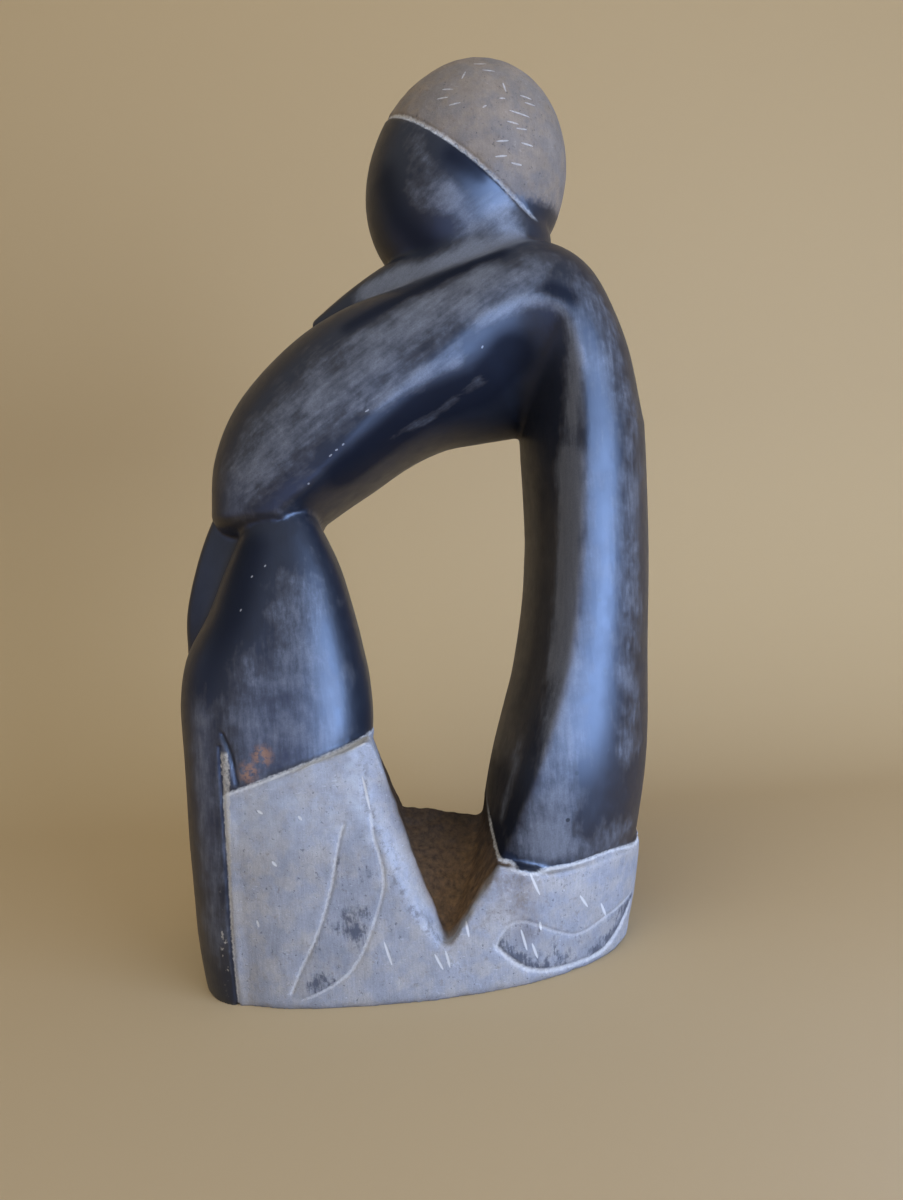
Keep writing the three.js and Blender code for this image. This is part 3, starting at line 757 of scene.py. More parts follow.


# Paths by place: radius in mm, strength, then the points of the path. First those that hands rubbed; some of
# them are painted highlights where the light catches the stone
WORN_AND_LIT = {
    "upper side of the arm": (
        6.5, 1.2, (29, -25.5, 141), (20, -25.2, 139), (11, -25, 136), (3, -24.5, 132.5), (-4, -24, 129),
        (-11, -23.5, 125), (-18, -22.5, 120.5), (-24, -21.5, 115.5), (-30, -20.5, 109), (-33, -19.5, 105)),
    "arm near the collar": (3.2, 0.7, (22, -24, 143.5), (11, -23.5, 141), (2, -23, 137.5)),
    "middle of the arm": (5, 0.55, (5, -25, 125), (-6.6, -24.8, 120), (-13, -24.4, 115), (-20, -23.5, 109)),
    "low streak": (2.2, 1.5, (19.3, -19.3, 123.3), (9.4, -17.9, 117.5), (0.4, -19.1, 113.5)),
    "high streak": (1.8, 1.3, (14.7, -24.1, 126.8), (6, -24.9, 123.3), (-4.4, -24.9, 119)),
    # Painted highlight: a thin light line where the ridge over the armpit catches the light
    "ridge over the armpit": (
        1.4, 1.1, (38.7, -25.7, 126), (37.4, -25.8, 132.7), (34, -25.7, 136), (28, -25.8, 136.8),
        (20, -25.7, 133.5)),
    "top of the shoulder": (3.2, 0.15, (31, -24, 146), (36.3, -25.2, 141.2), (41, -24.8, 136.5)),
    "back of the shoulder": (6, 0.9, (43, -23, 136), (45, -22, 128), (46, -21.5, 121)),
    "back": (5, 1.0, (49, -20.5, 112), (48, -21, 90), (46, -20.8, 67), (44, -19.7, 46)),
    # Painted highlight along the crest, over real rubbing
    "crest under the ridge": (2.6, 1.8, (38, -24.5, 124), (37, -23.6, 112)),
    "crest": (4.4, 2.6, (36, -23, 104), (35.4, -22.8, 97), (33.4, -22.6, 80), (31, -23, 66)),
    "inner edge": (2.8, 1.1, (21.4, -17.6, 47.8), (18.6, -18.5, 39.7), (16.5, -19.5, 33)),
    "foot of the crest": (5, 1.35, (31, -25.5, 60), (29, -27, 46), (27, -27, 36), (26, -26, 28)),
    "over the waist": (4, 0.9, (22, -26, 29), (32, -24, 26), (42, -15, 27)),
    "brow to cheek": (3.2, 0.85, (9, -17.5, 174), (12.2, -19, 168.8), (15.6, -18.3, 161.5)),
    "cheek": (3.2, 0.9, (6, -16, 164), (9, -17.5, 163), (17, -18.5, 161)),
    # Painted light on the facet under the ear and on the collar band, which face the light
    "under the ear": (3, 1.4, (20, -16.5, 156.5), (27, -16, 159.5)),
    "collar": (
        3.4, 2.2, (-3, -10, 146), (8, -13.8, 148.2), (16.8, -17, 149.6), (25, -18.4, 151.6),
        (29, -17, 152.6)),
    "thigh": (8.5, 1.05, (-21.5, -23.5, 80), (-22.5, -25.5, 69), (-23, -27, 59), (-23, -27.5, 52)),
    "shin side of the knee": (5.5, 0.9, (-34, -26, 66), (-34, -27, 56), (-34, -27, 49)),
    "shin": (5, 1.0, (-44.5, -25, 62), (-44, -26, 40), (-44, -27.5, 12)),
}
# Painted shade on the smoke's black: places turned away from the light, kept black and dull
SHADED_AND_SOOTY = {
    "top of the arm": (2.6, 1.0, (24.9, -22, 148), (14.5, -21, 145), (3.9, -21, 141), (-6.8, -20, 136)),
    "over the ridge": (2.2, 1.0, (34, -25.5, 138.6), (38.5, -25.3, 136.4)),
    "knee": (6, 1.0, (-32, -20, 92), (-36, -22, 78), (-42, -21, 64)),
    "back of the knee": (4.5, 0.9, (-17.5, -14, 86), (-16.5, -18, 73)),
    "underside of the arm": (
        6, 1.4, (25.5, -20, 127.5), (19, -17.5, 122.5), (6.5, -20, 118), (-3.6, -19, 111.6),
        (-10.2, -19, 107.5)),
    "temple": (3.2, 0.9, (17, -19.5, 169), (22, -19, 165.5)),
    "side of the hole": (6, 0.8, (28, -14, 100), (26, -14, 80), (20, -14, 55)),
    "front of the shins": (7, 0.8, (-52, -10, 100), (-54, -10, 50), (-53, -12, 10)),
    "chin": (5, 0.8, (3, -13, 168), (5, -13, 160), (10, -13, 154)),
}
# Where brown dirt has settled
DIRTY = {
    "foot of the notch": (3.5, 0.8, (3, -31, 12), (9, -32, 14), (13, -31, 17)),
    "corner of the seat": (3.4, 1.2, (13.8, -30, 23), (19, -29, 22), (19, -29.5, 17)),
    "start of the hem": (3.5, 0.6, (-34, -31, 44), (-36, -31, 36)),
    "end of the hem": (3, 0.7, (-12, -30, 46), (-11, -30, 40)),
    "nape": (5, 0.9, (31, -14, 163), (36, -8, 166)),
    "crown": (9, 0.5, (0, -14, 190), (-4, -10, 182)),
}


def near_paths(points, paths):
    """Sum of ridges: the strength times e to the minus squared distance from the path over radius."""
    total = 0
    for radius, strength, *path in paths.values():
        path = np.array(path, float)
        start, step = path[:-1], np.diff(path, axis=0)
        gap = points[:, None] - start
        share = np.clip((gap * step).sum(-1) / (step**2).sum(-1), 0, 1)
        away = np.linalg.norm(gap - share[..., None] * step, axis=-1).min(1)
        total = total + strength * np.exp(-((away / radius) ** 2))
    return total


# %% Write the notes on the points
NOTE_LIMIT = 4
notes = {
    **stroke_levels(points),
    "raw_mm": raw_level(points),
    "leaf_mm": leaf_level(points),
    "hollow": lap_shade_and_dirt_level(points),
    "worn_and_lit": near_paths(points, WORN_AND_LIT),
    "shade_and_soot": near_paths(points, SHADED_AND_SOOTY),
    "dirty": near_paths(points, DIRTY),
}
for name, values in notes.items():
    layer = figure.data.attributes.new(name, "FLOAT", "POINT")
    layer.data.foreach_set("value", np.clip(values, -NOTE_LIMIT, NOTE_LIMIT).astype(np.float32))
print("notes:", ", ".join(notes))

# %% [markdown]
# ## A small workbench for materials
#
# A material is a chain of small sums. These helpers add one node each and join it up, so that a
# recipe reads like a sentence. A number stays on the node's own socket; only what varies over the
# stone is wired. Places are turned into mm once, so every size below is in mm too.

# %% Material helpers


class Recipe:
    """Adds nodes to one material and wires them by the values handed in."""

    def __init__(self, name):
        self.material = bpy.data.materials.new(name)
        self.material.use_nodes = True
        self.tree = self.material.node_tree
        self.shader = self.tree.nodes["Principled BSDF"]
        self.place = self.vector("SCALE", self.add("TexCoord").outputs["Object"], 1 / MM)
        self.x, self.y, self.z = self.add("SeparateXYZ", {0: self.place}).outputs

    def add(self, kind, inputs=(), **settings):
        """A node of a kind, with settings as its own properties and inputs by name or number."""
        node = self.tree.nodes.new("ShaderNode" + kind)
        for key, value in settings.items():
            setattr(node, key, value)
        for key, value in dict(inputs).items():
            self.put(node.inputs[key], value)
        return node

    def put(self, socket, value):
        """Wire a value in, or set it. A colour is given as red, green and blue."""
        if isinstance(value, bpy.types.NodeSocket):
            self.tree.links.new(value, socket)
        else:
            socket.default_value = (*value, 1) if socket.type == "RGBA" else value

    def sum(self, operation, *values):
        return self.add("Math", enumerate(values), operation=operation).outputs[0]

    def times(self, *values):
        """Product of two or more numbers."""
        total = values[0]
        for value in values[1:]:
            total = self.sum("MULTIPLY", total, value)
        return total

    def plus(self, *values):
        """Sum of two or more numbers."""
        total = values[0]
        for value in values[1:]:
            total = self.sum("ADD", total, value)
        return total

    def vector(self, operation, one, other=None):
        """A vector sum. SCALE takes a number second, the others a vector."""
        node = self.add("VectorMath", {0: one}, operation=operation)
        if other is not None:
            self.put(node.inputs["Scale" if operation == "SCALE" else 1], other)
        return node.outputs["Value" if operation in ("DOT_PRODUCT", "LENGTH", "DISTANCE") else "Vector"]

    def note(self, name):
        return self.add("Attribute", attribute_name=name).outputs["Fac"]

    def noise(self, size, detail=4.0, roughness=0.55, stretch=(1, 1, 1), turn=0.0):
        """Noise with features of about the given size in mm, from about 0.25 to 0.75. A stretch below
        one along an axis draws the features out that way, after a turn about Y in radians."""
        turned = self.add("VectorRotate", {"Vector": self.place, "Angle": turn}, rotation_type="Y_AXIS")
        place = self.vector("MULTIPLY", turned.outputs[0], stretch)
        sockets = {"Vector": place, "Scale": 1 / size, "Detail": detail, "Roughness": roughness}
        return self.add("TexNoise", sockets).outputs["Fac"]

    def step(self, value, low, high):
        """0 under low, 1 over high, smooth between; low over high turns it round."""
        low, high, first, last = (low, high, 0.0, 1.0) if low < high else (high, low, 1.0, 0.0)
        sockets = {"Value": value, "From Min": low, "From Max": high, "To Min": first, "To Max": last}
        return self.add("MapRange", sockets, interpolation_type="SMOOTHSTEP").outputs[0]

    def between(self, value, low, high, soft=0.4):
        """1 between low and high, 0 outside, over a soft edge."""
        return self.times(self.step(value, low - soft, low + soft),
                          self.step(value, high + soft, high - soft))

    def spread(self, value, low, high):
        """Noise, which lies from about 0.25 to 0.75, moved to run from low to high."""
        sockets = {"Value": value, "From Min": 0.3, "From Max": 0.7, "To Min": low, "To Max": high}
        return self.add("MapRange", sockets).outputs[0]

    def blend(self, share, one, other, mode="MIX"):
        """One colour where share is 0 and the other where it is 1."""
        node = self.add("Mix", data_type="RGBA", blend_type=mode)
        for key, value in (("Factor_Float", share), ("A_Color", one), ("B_Color", other)):
            self.put(next(s for s in node.inputs if s.identifier == key), value)
        return next(s for s in node.outputs if s.identifier == "Result_Color")

    def mix(self, share, one, other):
        """One number where share is 0 and the other where it is 1."""
        node = self.add("Mix", data_type="FLOAT")
        for key, value in (("Factor_Float", share), ("A_Float", one), ("B_Float", other)):
            self.put(next(s for s in node.inputs if s.identifier == key), value)
        return next(s for s in node.outputs if s.identifier == "Result_Float")

    def shade(self, colour, factor):
        """The colour made lighter or darker by a factor."""
        return self.vector("SCALE", colour, factor)


# %% [markdown]
# ## Smoked stone
#
# Raw stone is a matte grey with faint clouds, and the rasp left fine streaks that run up the
# figure. The burnished skin is nearly black and half glossy, and hands have rubbed the smoke off
# the parts that stand out. Some of the rubbed grey is a painted highlight, and the blackest places,
# the lap and the bevel carry painted shade and light. It is built up in the order in which it
# happened: raw stone, smoke, wear, then the knife and the chips that came last. All of it is one
# material on one stone.

# %% Raw stone
# Colours of the raw stone, as linear red, green and blue
COOL_STONE, WARM_STONE, FLECK_BROWN = (0.238, 0.238, 0.250), (0.292, 0.272, 0.250), (0.16, 0.125, 0.09)
NICK_PALE, HAIR_TINT = (0.46, 0.46, 0.47), (0.66, 0.54, 0.40)
LEAF_SHADE, LEAF_SOOT = (0.09, 0.092, 0.10), (0.045, 0.045, 0.055)
GRIME_BROWN, LAP_SHADE_BROWN = (0.115, 0.08, 0.05), (0.066, 0.036, 0.014)
BEVEL_LIT_PALE, BEVEL_DARK = (0.40, 0.43, 0.48), (0.08, 0.065, 0.055)

stone = Recipe("smoked_stone")
streaks = stone.noise(0.4, 3, 0.6, stretch=(1, 1, 0.12))
fine = stone.noise(0.3, 3, 0.7)
clouds = stone.noise(8, 6, 0.6)
mottle = stone.noise(4.5, 6, 0.6)
smudges = stone.noise(2.6, 5, 0.62)
wander = stone.spread(stone.noise(0.9, 4, 0.6), -0.22, 0.22)

raw_shade = stone.times(stone.spread(streaks, 0.92, 1.08), stone.spread(fine, 0.88, 1.12),
                        stone.spread(clouds, 0.88, 1.1))
pits = stone.step(stone.noise(0.7, 3, 0.6), 0.63, 0.7)
raw_shade = stone.times(raw_shade, stone.mix(pits, 1, 0.55), stone.spread(smudges, 0.9, 1.08))
raw_colour = stone.blend(stone.step(mottle, 0.4, 0.62), COOL_STONE, WARM_STONE)
brown_flecks = stone.step(stone.noise(1.5, 6, 0.7), 0.57, 0.7)
raw_colour = stone.blend(stone.times(brown_flecks, 0.5), raw_colour, FLECK_BROWN)
raw_colour = stone.shade(raw_colour, raw_shade)
nicks = stone.step(stone.noise(0.55, 3, 0.6, stretch=(0.3, 1, 1)), 0.62, 0.72)
raw_colour = stone.blend(stone.times(nicks, stone.step(clouds, 0.42, 0.6), 0.5), raw_colour, NICK_PALE)
hair = stone.step(stone.z, 150, 152)
raw_colour = stone.blend(hair, raw_colour, HAIR_TINT, mode="MULTIPLY")

# The leaves were left a little darker, with soot caught under their lower sides
in_leaf = stone.step(stone.plus(stone.note("leaf_mm"), wander), -0.1, 0.5)
hatch = stone.noise(0.55, 3, 0.6, stretch=(1, 1, 0.2))
ragged_soot = stone.plus(stone.noise(3, 7, 0.72), stone.times(hatch, 0.55))
seat_low = stone.times(stone.step(stone.note("seat_low_mm"), 4.4, 0.8), stone.step(stone.x, 10, 12),
                       stone.step(stone.between(stone.x, 26, 33, 3), 1.4, 0.3))
tall_low = stone.times(stone.step(stone.x, 0, -2), stone.plus(
    stone.step(stone.vector("DISTANCE", stone.place, (-14.6, -32, 16.5)), 5.5, 1.5),
    stone.step(stone.vector("DISTANCE", stone.place, (-21.5, -33, 6)), 3.5, 1.0)))
sootier = stone.times(stone.plus(seat_low, tall_low), 0.24)
soot_patch = stone.times(in_leaf, stone.step(stone.plus(ragged_soot, sootier), 0.82, 1.08))
raw_colour = stone.blend(stone.times(in_leaf, 0.17), raw_colour, LEAF_SHADE)
raw_colour = stone.blend(stone.times(soot_patch, 0.92), raw_colour, LEAF_SOOT)

# Dirt in the notch and beside it
grime = stone.step(stone.plus(stone.times(stone.note("dirty"), 0.3), stone.noise(2.2, 7, 0.72)), 0.66, 0.98)
raw_colour = stone.blend(stone.times(grime, 0.62), raw_colour, GRIME_BROWN)
# Painted highlight: the bevel faces the window, so its stone is painted paler and bluer above and along its
# foot, over stone that the scraping left lighter
lit_beside_bevel = stone.times(stone.step(stone.y, -24, -26), stone.plus(
    stone.times(stone.between(stone.note("bevel_mm"), -4, 1.2, 2), stone.step(stone.z, 28, 38)),
    stone.times(stone.between(stone.note("bevel_mm"), -1, 2.0, 0.8), stone.step(stone.z, 34, 28), 0.45)))
chipping = stone.times(stone.between(stone.note("bevel_mm"), -0.9, 1.1, 0.8), stone.step(stone.y, -24, -26),
                       stone.step(stone.noise(1.7, 7, 0.75), 0.47, 0.62))
lit_pale_share = stone.times(lit_beside_bevel, stone.spread(smudges, 0.2, 0.75))
raw_colour = stone.blend(lit_pale_share, raw_colour, BEVEL_LIT_PALE)
raw_colour = stone.blend(stone.times(chipping, 0.6), raw_colour, BEVEL_DARK)
# Painted shade on the lap: brown for shade and for warm light bounced into the notch, over some dirt. It is
# darker towards the torso and lighter low in the notch
brushed = stone.spread(stone.noise(1.2, 4, 0.65, stretch=(1, 1, 0.12)), 0.45, 1.7)
lap_shade_across = stone.mix(stone.step(stone.x, -4, 10), 0.8, 0.3)
lap_shade_by_height = stone.mix(stone.step(stone.z, 30, 18), lap_shade_across, 1.6)
lap_shade_colour = stone.shade(LAP_SHADE_BROWN, stone.times(brushed, lap_shade_by_height))
raw_colour = stone.blend(stone.times(stone.note("hollow"), 0.92), raw_colour, lap_shade_colour)
print("nodes for the raw stone:", len(stone.tree.nodes))

# %% Smoke, wear and painted light
SMOKE_BLACK, WORN_AND_LIT_GREY, THIN_BROWN = (0.010, 0.012, 0.019), (0.118, 0.122, 0.135), (0.045, 0.036, 0.028)

up_arm = stone.noise(1.2, 6, 0.64, stretch=(0.16, 1, 1), turn=0.55)
up_body = stone.noise(1.0, 6, 0.64, stretch=(1, 1, 0.14))
on_arm = stone.times(stone.step(stone.z, 99, 104), stone.step(stone.x, 36, 28))
rubbing = stone.mix(on_arm, up_body, up_arm)
# Wear and painted highlights turn the black grey; the shade and soot paths keep it black as painted shade
wear_and_light = stone.plus(stone.times(stone.note("worn_and_lit"), 0.40), stone.spread(stone.noise(6, 7, 0.66), 0.32, 0.76),
                  stone.spread(rubbing, 0.05, 0.27), stone.note("bend"),
                  stone.times(stone.note("shade_and_soot"), -0.24))
worn_and_lit = stone.step(wear_and_light, 0.80, 1.48)
worn_shade = stone.times(stone.spread(fine, 0.8, 1.2), stone.spread(rubbing, 0.85, 1.12))
worn_and_lit_colour = stone.shade(WORN_AND_LIT_GREY, worn_shade)
skin_colour = stone.blend(stone.times(worn_and_lit, 0.9), SMOKE_BLACK, worn_and_lit_colour)
brown = stone.times(stone.between(wear_and_light, 0.88, 1.02, 0.08), 0.2)
skin_colour = stone.blend(brown, skin_colour, THIN_BROWN)
print("nodes with the skin:", len(stone.tree.nodes))

# %% [markdown]
# ## The knife's lines
#
# Where the knife went, chalky dust sits in the groove. The dust is pale and broken up, and each
# line has its own width. A thin line comes out clean only from a signed distance: it passes
# smoothly through zero, where an unsigned one would have a kink on every triangle.

# %% Lines of dust
raw_edge = stone.plus(stone.note("raw_mm"), stone.times(wander, stone.mix(hair, 0.5, 2.5)))
soft = stone.mix(stone.times(hair, stone.step(stone.x, 24, 30)), 0.14, 1.4)
is_raw = stone.step(stone.sum("DIVIDE", raw_edge, soft), -1, 1)
colour = stone.blend(is_raw, skin_colour, raw_colour)


def line(note, width, where, strength=1.0):
    """Share of dust on one stroke: near the line, thinned by noise, and only where it was cut."""
    aside = stone.sum("ABSOLUTE", stone.plus(stone.note(note), stone.times(wander, 0.7)))
    return stone.times(stone.step(aside, width * 0.7, width * 0.2), where, strength)


def most(values):
    """The largest of several numbers."""
    total = values[0]
    for value in values[1:]:
        total = stone.sum("MAXIMUM", total, value)
    return total


CHALK = (0.60, 0.58, 0.54)
NEAR_SIDE = stone.step(stone.y, -4, -6)
FACING = stone.step(stone.sum("ABSOLUTE", stone.y), 17, 19)
lines = most([
    line("hair_mm", 0.95, stone.step(stone.z, 157, 158), stone.mix(stone.step(stone.x, 8, 30), 0.85, 0.4)),
    line("hem_mm", 0.85, stone.times(stone.between(stone.x, -39.5, -9.5), stone.step(stone.z, 40, 41)), 0.75),
    line("waist_mm", 0.8, stone.times(stone.step(stone.x, 12.5, 13.5), stone.step(stone.z, 36, 34)), 0.75),
    line("leaf_front_mm", 0.65, stone.times(NEAR_SIDE, stone.between(stone.z, 3, 36)), 0.6),
    line("leaf_back_mm", 0.65, stone.times(NEAR_SIDE, stone.between(stone.z, 2, 38)), 0.55),
    line("seat_low_mm", 1.1, stone.times(NEAR_SIDE, stone.between(stone.x, 13, 43)), 0.75),
    line("seat_high_mm", 0.7, stone.times(NEAR_SIDE, stone.between(stone.x, 13, 43)), 0.35),
])
broken = stone.spread(stone.noise(0.7, 4, 0.65), 0.3, 1.15)


def scratches(segments, thickness, where):
    """Scratches where asked, drawn in the side view. The sum of the distances from the two ends is
    least on the scratch itself, so a small allowance over its length makes a thin ellipse."""
    flat = stone.vector("MULTIPLY", stone.place, (1, 0, 1))
    shares = []
    for (x0, z0), (x1, z1) in segments:
        length = math.hypot(x1 - x0, z1 - z0)
        round_trip = stone.plus(stone.vector("DISTANCE", flat, (x0, 0, z0)),
                                stone.vector("DISTANCE", flat, (x1, 0, z1)))
        shares.append(stone.step(round_trip, length + thickness**2 / length, length))
    return stone.times(most(shares), where)


scratch = scratches((
    ((-8.4, 12.9), (-7.2, 8.2)), ((1.3, 9.6), (2.7, 6.3)), ((3.5, 10), (4.1, 6.5)),
    ((7.9, 15.2), (8.3, 12.2)), ((21.3, 23), (22.9, 18.4)), ((31.1, 16.4), (32.6, 13.4)),
    ((35.5, 13.2), (36.5, 9.7)),
    ((39.4, 15.4), (40.2, 12.7)), ((18.6, 12.1), (19.5, 7.5)), ((20.6, 8.8), (21.5, 5.3)),
    ((22.5, 12.9), (22.6, 11.1)), ((-32.5, 39.6), (-31.4, 39)), ((-29.9, 29.6), (-29, 28.7)),
    ((-34, 17.9), (-33.7, 16.6)), ((-23.9, 38.3), (-23.3, 37.5)), ((-10.6, 45.4), (-9.4, 38.6)),
), 0.5, stone.times(FACING, NEAR_SIDE))
dashes = scratches((
    ((24.4, 188.2), (27, 187.8)), ((22.6, 190.4), (25.4, 190.3)), ((15.8, 184), (18, 183.5)),
    ((14.6, 181.9), (16.9, 181.7)), ((17, 179.7), (19.4, 180)), ((31.8, 182), (34.2, 181.7)),
    ((32.6, 180.4), (34.8, 180.3)), ((28.6, 175.6), (31, 175.2)), ((30.4, 174.3), (32.6, 174.3)),
    ((26, 171.2), (28.6, 171.5)), ((31.2, 171.4), (33.6, 171.1)), ((25.6, 168.2), (28, 168.5)),
    ((28.8, 167.2), (31, 167)), ((20, 186), (20.9, 188)), ((28.4, 184.6), (28.9, 182.4)),
    ((29.2, 178), (33.4, 177.2)), ((27.4, 180.6), (28.6, 180.7)), ((23.8, 178.4), (24.6, 178.9)),
), 0.36, NEAR_SIDE)
marks = stone.plus(stone.times(scratch, 0.8), stone.times(dashes, broken, 0.6))
dust = stone.sum("MINIMUM", stone.plus(stone.times(lines, broken), marks), 1)
colour = stone.blend(stone.times(dust, 0.88), colour, CHALK)

# %% Raised edge, cuts, chips and stains
EDGE_BEIGE, SLIT_SHADOW_BLACK, PIT_BLACK = (0.44, 0.40, 0.33), (0.008, 0.008, 0.008), (0.006, 0.006, 0.006)
SPECK_GREY, RUST = (0.4, 0.4, 0.4), (0.24, 0.115, 0.05)
edge_width = stone.add("MapRange", {"Value": stone.z, "From Min": 18, "From Max": 46, "To Min": 0.4,
                                    "To Max": 1.9}).outputs[0]
edge_aside = stone.plus(stone.note("edge_mm"), stone.times(wander, 1.4))
edge = stone.times(stone.step(edge_aside, 0.0, 0.25),
                   stone.step(stone.sum("SUBTRACT", edge_aside, edge_width), 0.2, -0.2),
                   stone.step(stone.z, 51.8, 50.8), FACING)
colour = stone.blend(stone.times(edge, broken, 0.8), colour, EDGE_BEIGE)
# Painted shadow: the deep slit beside the raised edge is painted black
slit_shadow = stone.times(stone.step(stone.sum("ABSOLUTE", stone.note("edge_cut_mm")), 0.75, 0.35), NEAR_SIDE,
                   stone.between(stone.z, 48.5, 55))
colour = stone.blend(stone.times(slit_shadow, 0.95), colour, SLIT_SHADOW_BLACK)


def spots(places, radius, core):
    """Share of a set of round spots, each given by its own X, Y and Z, solid inside the core."""
    return most([stone.step(stone.vector("DISTANCE", stone.place, spot), radius, core) for spot in places])


dark_pits = spots(((39.4, -25.5, 76.5), (39.5, -24.7, 62.3), (32.2, -26.8, 42.2), (29.7, -26, 32.6)),
                  0.6, 0.3)
colour = stone.blend(dark_pits, colour, PIT_BLACK)
flecks = scratches((
    ((-17.9, 104.7), (-17.6, 104.9)), ((-12.8, 109.8), (-12.2, 110.2)), ((-11.4, 110.9), (-10.9, 111.1)),
    ((-9.9, 111.8), (-9.5, 112.1)), ((19.8, 128.8), (20.1, 129.2)), ((-28.6, 88.6), (-28.3, 88.9)),
    ((-31.6, 86.6), (-31.2, 86.9)), ((-34.2, 79.8), (-33.9, 80.2)), ((-4.6, 118), (-3.8, 118.4)),
), 0.3, NEAR_SIDE)
colour = stone.blend(stone.times(flecks, 0.6), colour, SPECK_GREY)
rust = stone.times(spots(((-33.9, -27.9, 47.2), (-31.0, -27.7, 50.2)), 3.2, 0.8),
                   stone.step(stone.noise(1.4, 6, 0.7), 0.38, 0.56))
colour = stone.blend(stone.times(rust, 0.85), colour, RUST)
chips = stone.times(stone.step(stone.noise(1.6, 3, 0.6), 0.6, 0.66), stone.between(stone.x, -42.5, -40.5),
                    stone.between(stone.z, 3, 24, 3), FACING)
colour = stone.blend(stone.times(chips, 0.6), colour, EDGE_BEIGE)
stone.put(stone.shader.inputs["Base Color"], colour)

# %% Gloss and tooth
gloss = stone.mix(worn_and_lit, stone.spread(stone.noise(3, 4, 0.6), 0.36, 0.46), 0.5)
roughness = stone.mix(is_raw, gloss, 0.8)
stone.put(stone.shader.inputs["Roughness"], stone.mix(dust, roughness, 0.9))
# The painted shade on the soot and on the lap also takes the shine away
dull = stone.sum("MAXIMUM", stone.step(stone.note("shade_and_soot"), 0.1, 1), stone.note("hollow"))
stone.put(stone.shader.inputs["Specular IOR Level"], stone.mix(dull, 0.5, 0.05))

tooth = stone.plus(stone.times(streaks, 0.5), stone.times(fine, 0.5), stone.times(mottle, 0.9),
                   stone.times(marks, -0.4), stone.times(pits, -0.6))
polish = stone.plus(stone.times(rubbing, 0.3), stone.times(fine, 0.12))
height = stone.mix(is_raw, polish, tooth)
bump = stone.add("Bump", {"Strength": 0.7, "Distance": 0.14 * MM, "Height": height})
stone.put(stone.shader.inputs["Normal"], bump.outputs["Normal"])

figure.data.materials.clear()
figure.data.materials.append(stone.material)
print("nodes in the stone:", len(stone.tree.nodes))

# %% The piece and its place in the frame
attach(figure, "root")
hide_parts(FIGURE)

# %% [markdown]
# ## Floor, backdrop and light
#
# The floor runs back and turns up into a wall, so there is no horizon. The wall is close and warm,
# so the stone's edges and the walls of the hole pick up its colour. The room is lit by a bluish
# window to the right and a soft neutral light from the upper front left. Polished stone shows a
# window in two ways, as light on its matte parts and as a gleam in its shine. Blender can keep the
# two apart, so each gleam is a light of its own: the long one down the torso, one low by the seat,
# a small one at the hands and a faint one along the shins.

# %% Floor and backdrop
SWEEP_HALF_WIDTH, SWEEP_FRONT, SWEEP_BACK, SWEEP_RADIUS, SWEEP_TOP = 2.5, -2.5, 0.26, 0.16, 2.2


def sweep_profile(steps):
    """Floor line, then a quarter circle, then a wall: Y and Z along the backdrop."""
    turn = np.linspace(0, np.pi / 2, steps)
    y = SWEEP_BACK - SWEEP_RADIUS + SWEEP_RADIUS * np.sin(turn)
    z = SWEEP_RADIUS * (1 - np.cos(turn))
    return np.vstack([(SWEEP_FRONT, 0), np.stack([y, z], 1), (SWEEP_BACK, SWEEP_TOP)])


profile = sweep_profile(24)
sides = [np.column_stack([np.full(len(profile), x), profile]) for x in (-SWEEP_HALF_WIDTH, SWEEP_HALF_WIDTH)]
rows = np.arange(len(profile) - 1)
sweep_faces = np.stack([rows, rows + len(profile), rows + len(profile) + 1, rows + 1], -1).tolist()
sweep = mesh_from("floor_and_backdrop", np.vstack(sides) / MM, sweep_faces)
sweep.data.shade_smooth()
paper = Recipe("pale_paper")
paper.put(paper.shader.inputs["Base Color"], (0.46, 0.34, 0.18))
paper.shader.inputs["Roughness"].default_value = 0.9
sweep.data.materials.append(paper.material)

# %% Lights
MIDDLE = (0.0, 0.0, 0.095)


def window(name, place, size, watts, colour, aim=MIDDLE, on_matte=True, in_gloss=True):
    """An area light, wide and high as given, that looks at a place. The camera never sees it. It can
    be left out for matte surfaces or for the gloss, which only sees it as a gleam."""
    data = bpy.data.lights.new(name, "AREA")
    data.shape = "RECTANGLE"
    data.energy, data.size, data.size_y, data.color = watts, *size, colour
    light = bpy.data.objects.new(name, data)
    light.visible_camera, light.visible_diffuse, light.visible_glossy = False, on_matte, in_gloss
    bpy.context.scene.collection.objects.link(light)
    back = np.array(place) - aim
    back /= np.linalg.norm(back)
    right = np.cross((0, 0, 1), back)
    right /= np.linalg.norm(right)
    light.matrix_world = Matrix.Translation(place) @ Matrix(
        np.column_stack([right, np.cross(back, right), back]).tolist()).to_4x4()


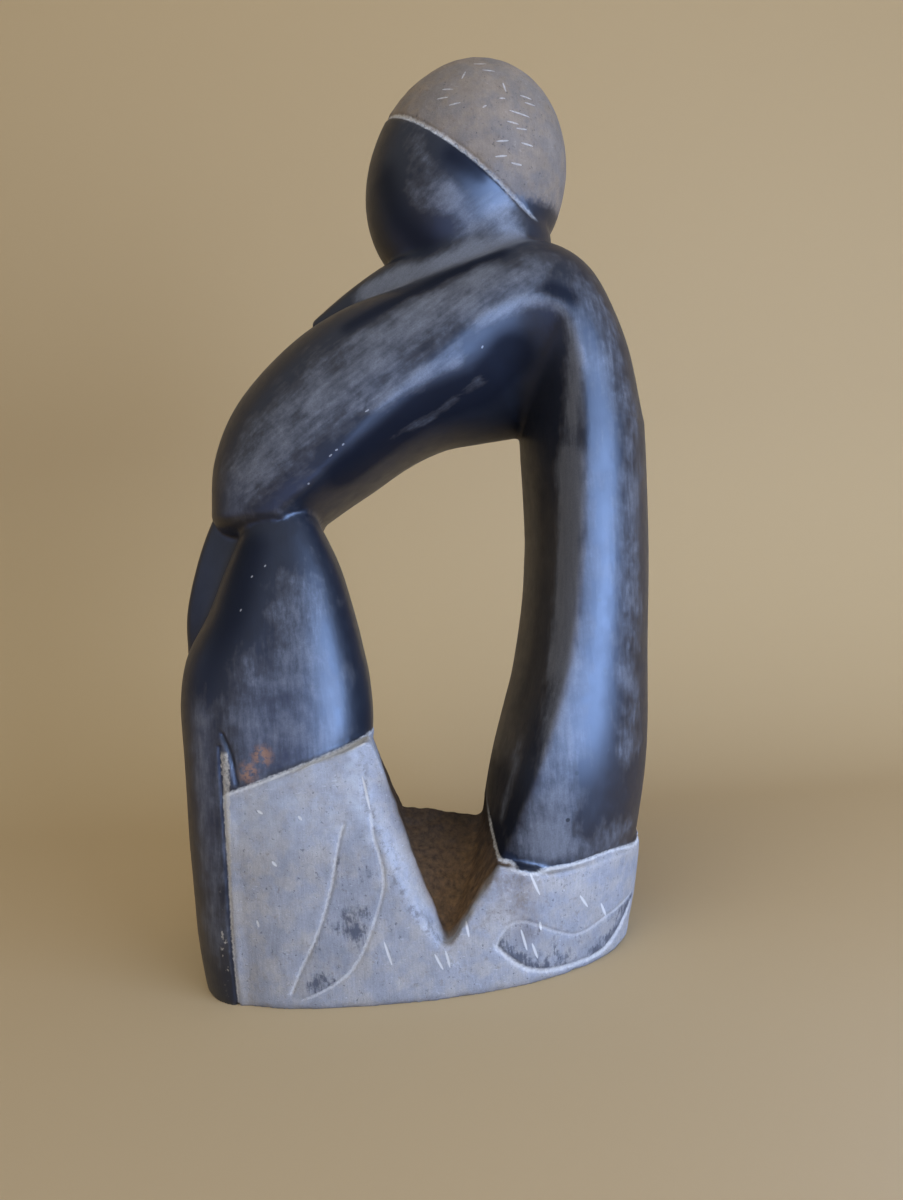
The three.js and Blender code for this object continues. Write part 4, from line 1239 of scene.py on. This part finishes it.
window("window", (0.35, -0.30, 0.05), (0.33, 0.33), 6.4, (0.41, 0.53, 0.82), in_gloss=False)
window("window_gleam", (0.285, -0.36, 0.05), (0.46, 0.33), 8.8, (0.33, 0.53, 1.0), on_matte=False)
window("low_gleam", (0.125, -0.118, 0.04), (0.075, 0.08), 0.3, (0.30, 0.50, 1.0), on_matte=False)
window("hand_gleam", (-0.03, -0.14, 0.05), (0.09, 0.05), 0.045, (0.22, 0.38, 1.0),
       aim=(-0.02, -0.023, 0.110), on_matte=False)
window("left_gleam", (-0.22, -0.07, 0.06), (0.12, 0.2), 0.06, (0.25, 0.40, 1.0), on_matte=False)
window("soft_top", (-0.15, -0.6, 0.9), (0.8, 0.8), 4.2, (1.0, 0.98, 0.95), in_gloss=False)
world = bpy.data.worlds.new("cool_room")
bpy.context.scene.world = world
world.use_nodes = True
world.node_tree.nodes["Background"].inputs["Color"].default_value = (0.92, 0.95, 1.0, 1)
world.node_tree.nodes["Background"].inputs["Strength"].default_value = 0.46
bpy.context.scene.view_settings.view_transform = "Standard"

# %% [markdown]
# ## Camera
#
# The photograph was taken from close by, so near parts look larger. The eye is 207 mm in front of
# the figure's middle plane. Two things fix its direction: the point of the picture where lines that
# run straight away from the eye would meet, and a small roll. From those come the three axes.

# %% Camera
PHOTO_WIDTH, PHOTO_HEIGHT = 903, 1200
FOCAL_PIXELS = 901
EYE = (20.75, -207.0, 86.0)
AWAY_PIXEL = (503, 560)
ROLL = math.radians(4.6)
SENSOR = 36.0

away = np.array([AWAY_PIXEL[0] - PHOTO_WIDTH / 2, AWAY_PIXEL[1] - PHOTO_HEIGHT / 2, FOCAL_PIXELS])
away = away / np.linalg.norm(away)
along_x = np.array([math.cos(ROLL), -math.sin(ROLL), 0])
along_x -= away * (along_x @ away)
along_x /= np.linalg.norm(along_x)
axes = np.array([along_x, away, np.cross(along_x, away)])
camera_data = bpy.data.cameras.new("camera")
camera_data.sensor_width = SENSOR
camera_data.lens = SENSOR * FOCAL_PIXELS / PHOTO_HEIGHT
camera_data.clip_start = 0.005
camera = bpy.data.objects.new("camera", camera_data)
bpy.context.scene.collection.objects.link(camera)
turned = Matrix((axes * (1, -1, -1)).tolist()).to_4x4()
camera.matrix_world = Matrix.Translation([v * MM for v in EYE]) @ turned
bpy.context.scene.camera = camera
print("lens in mm:", round(camera_data.lens, 2))
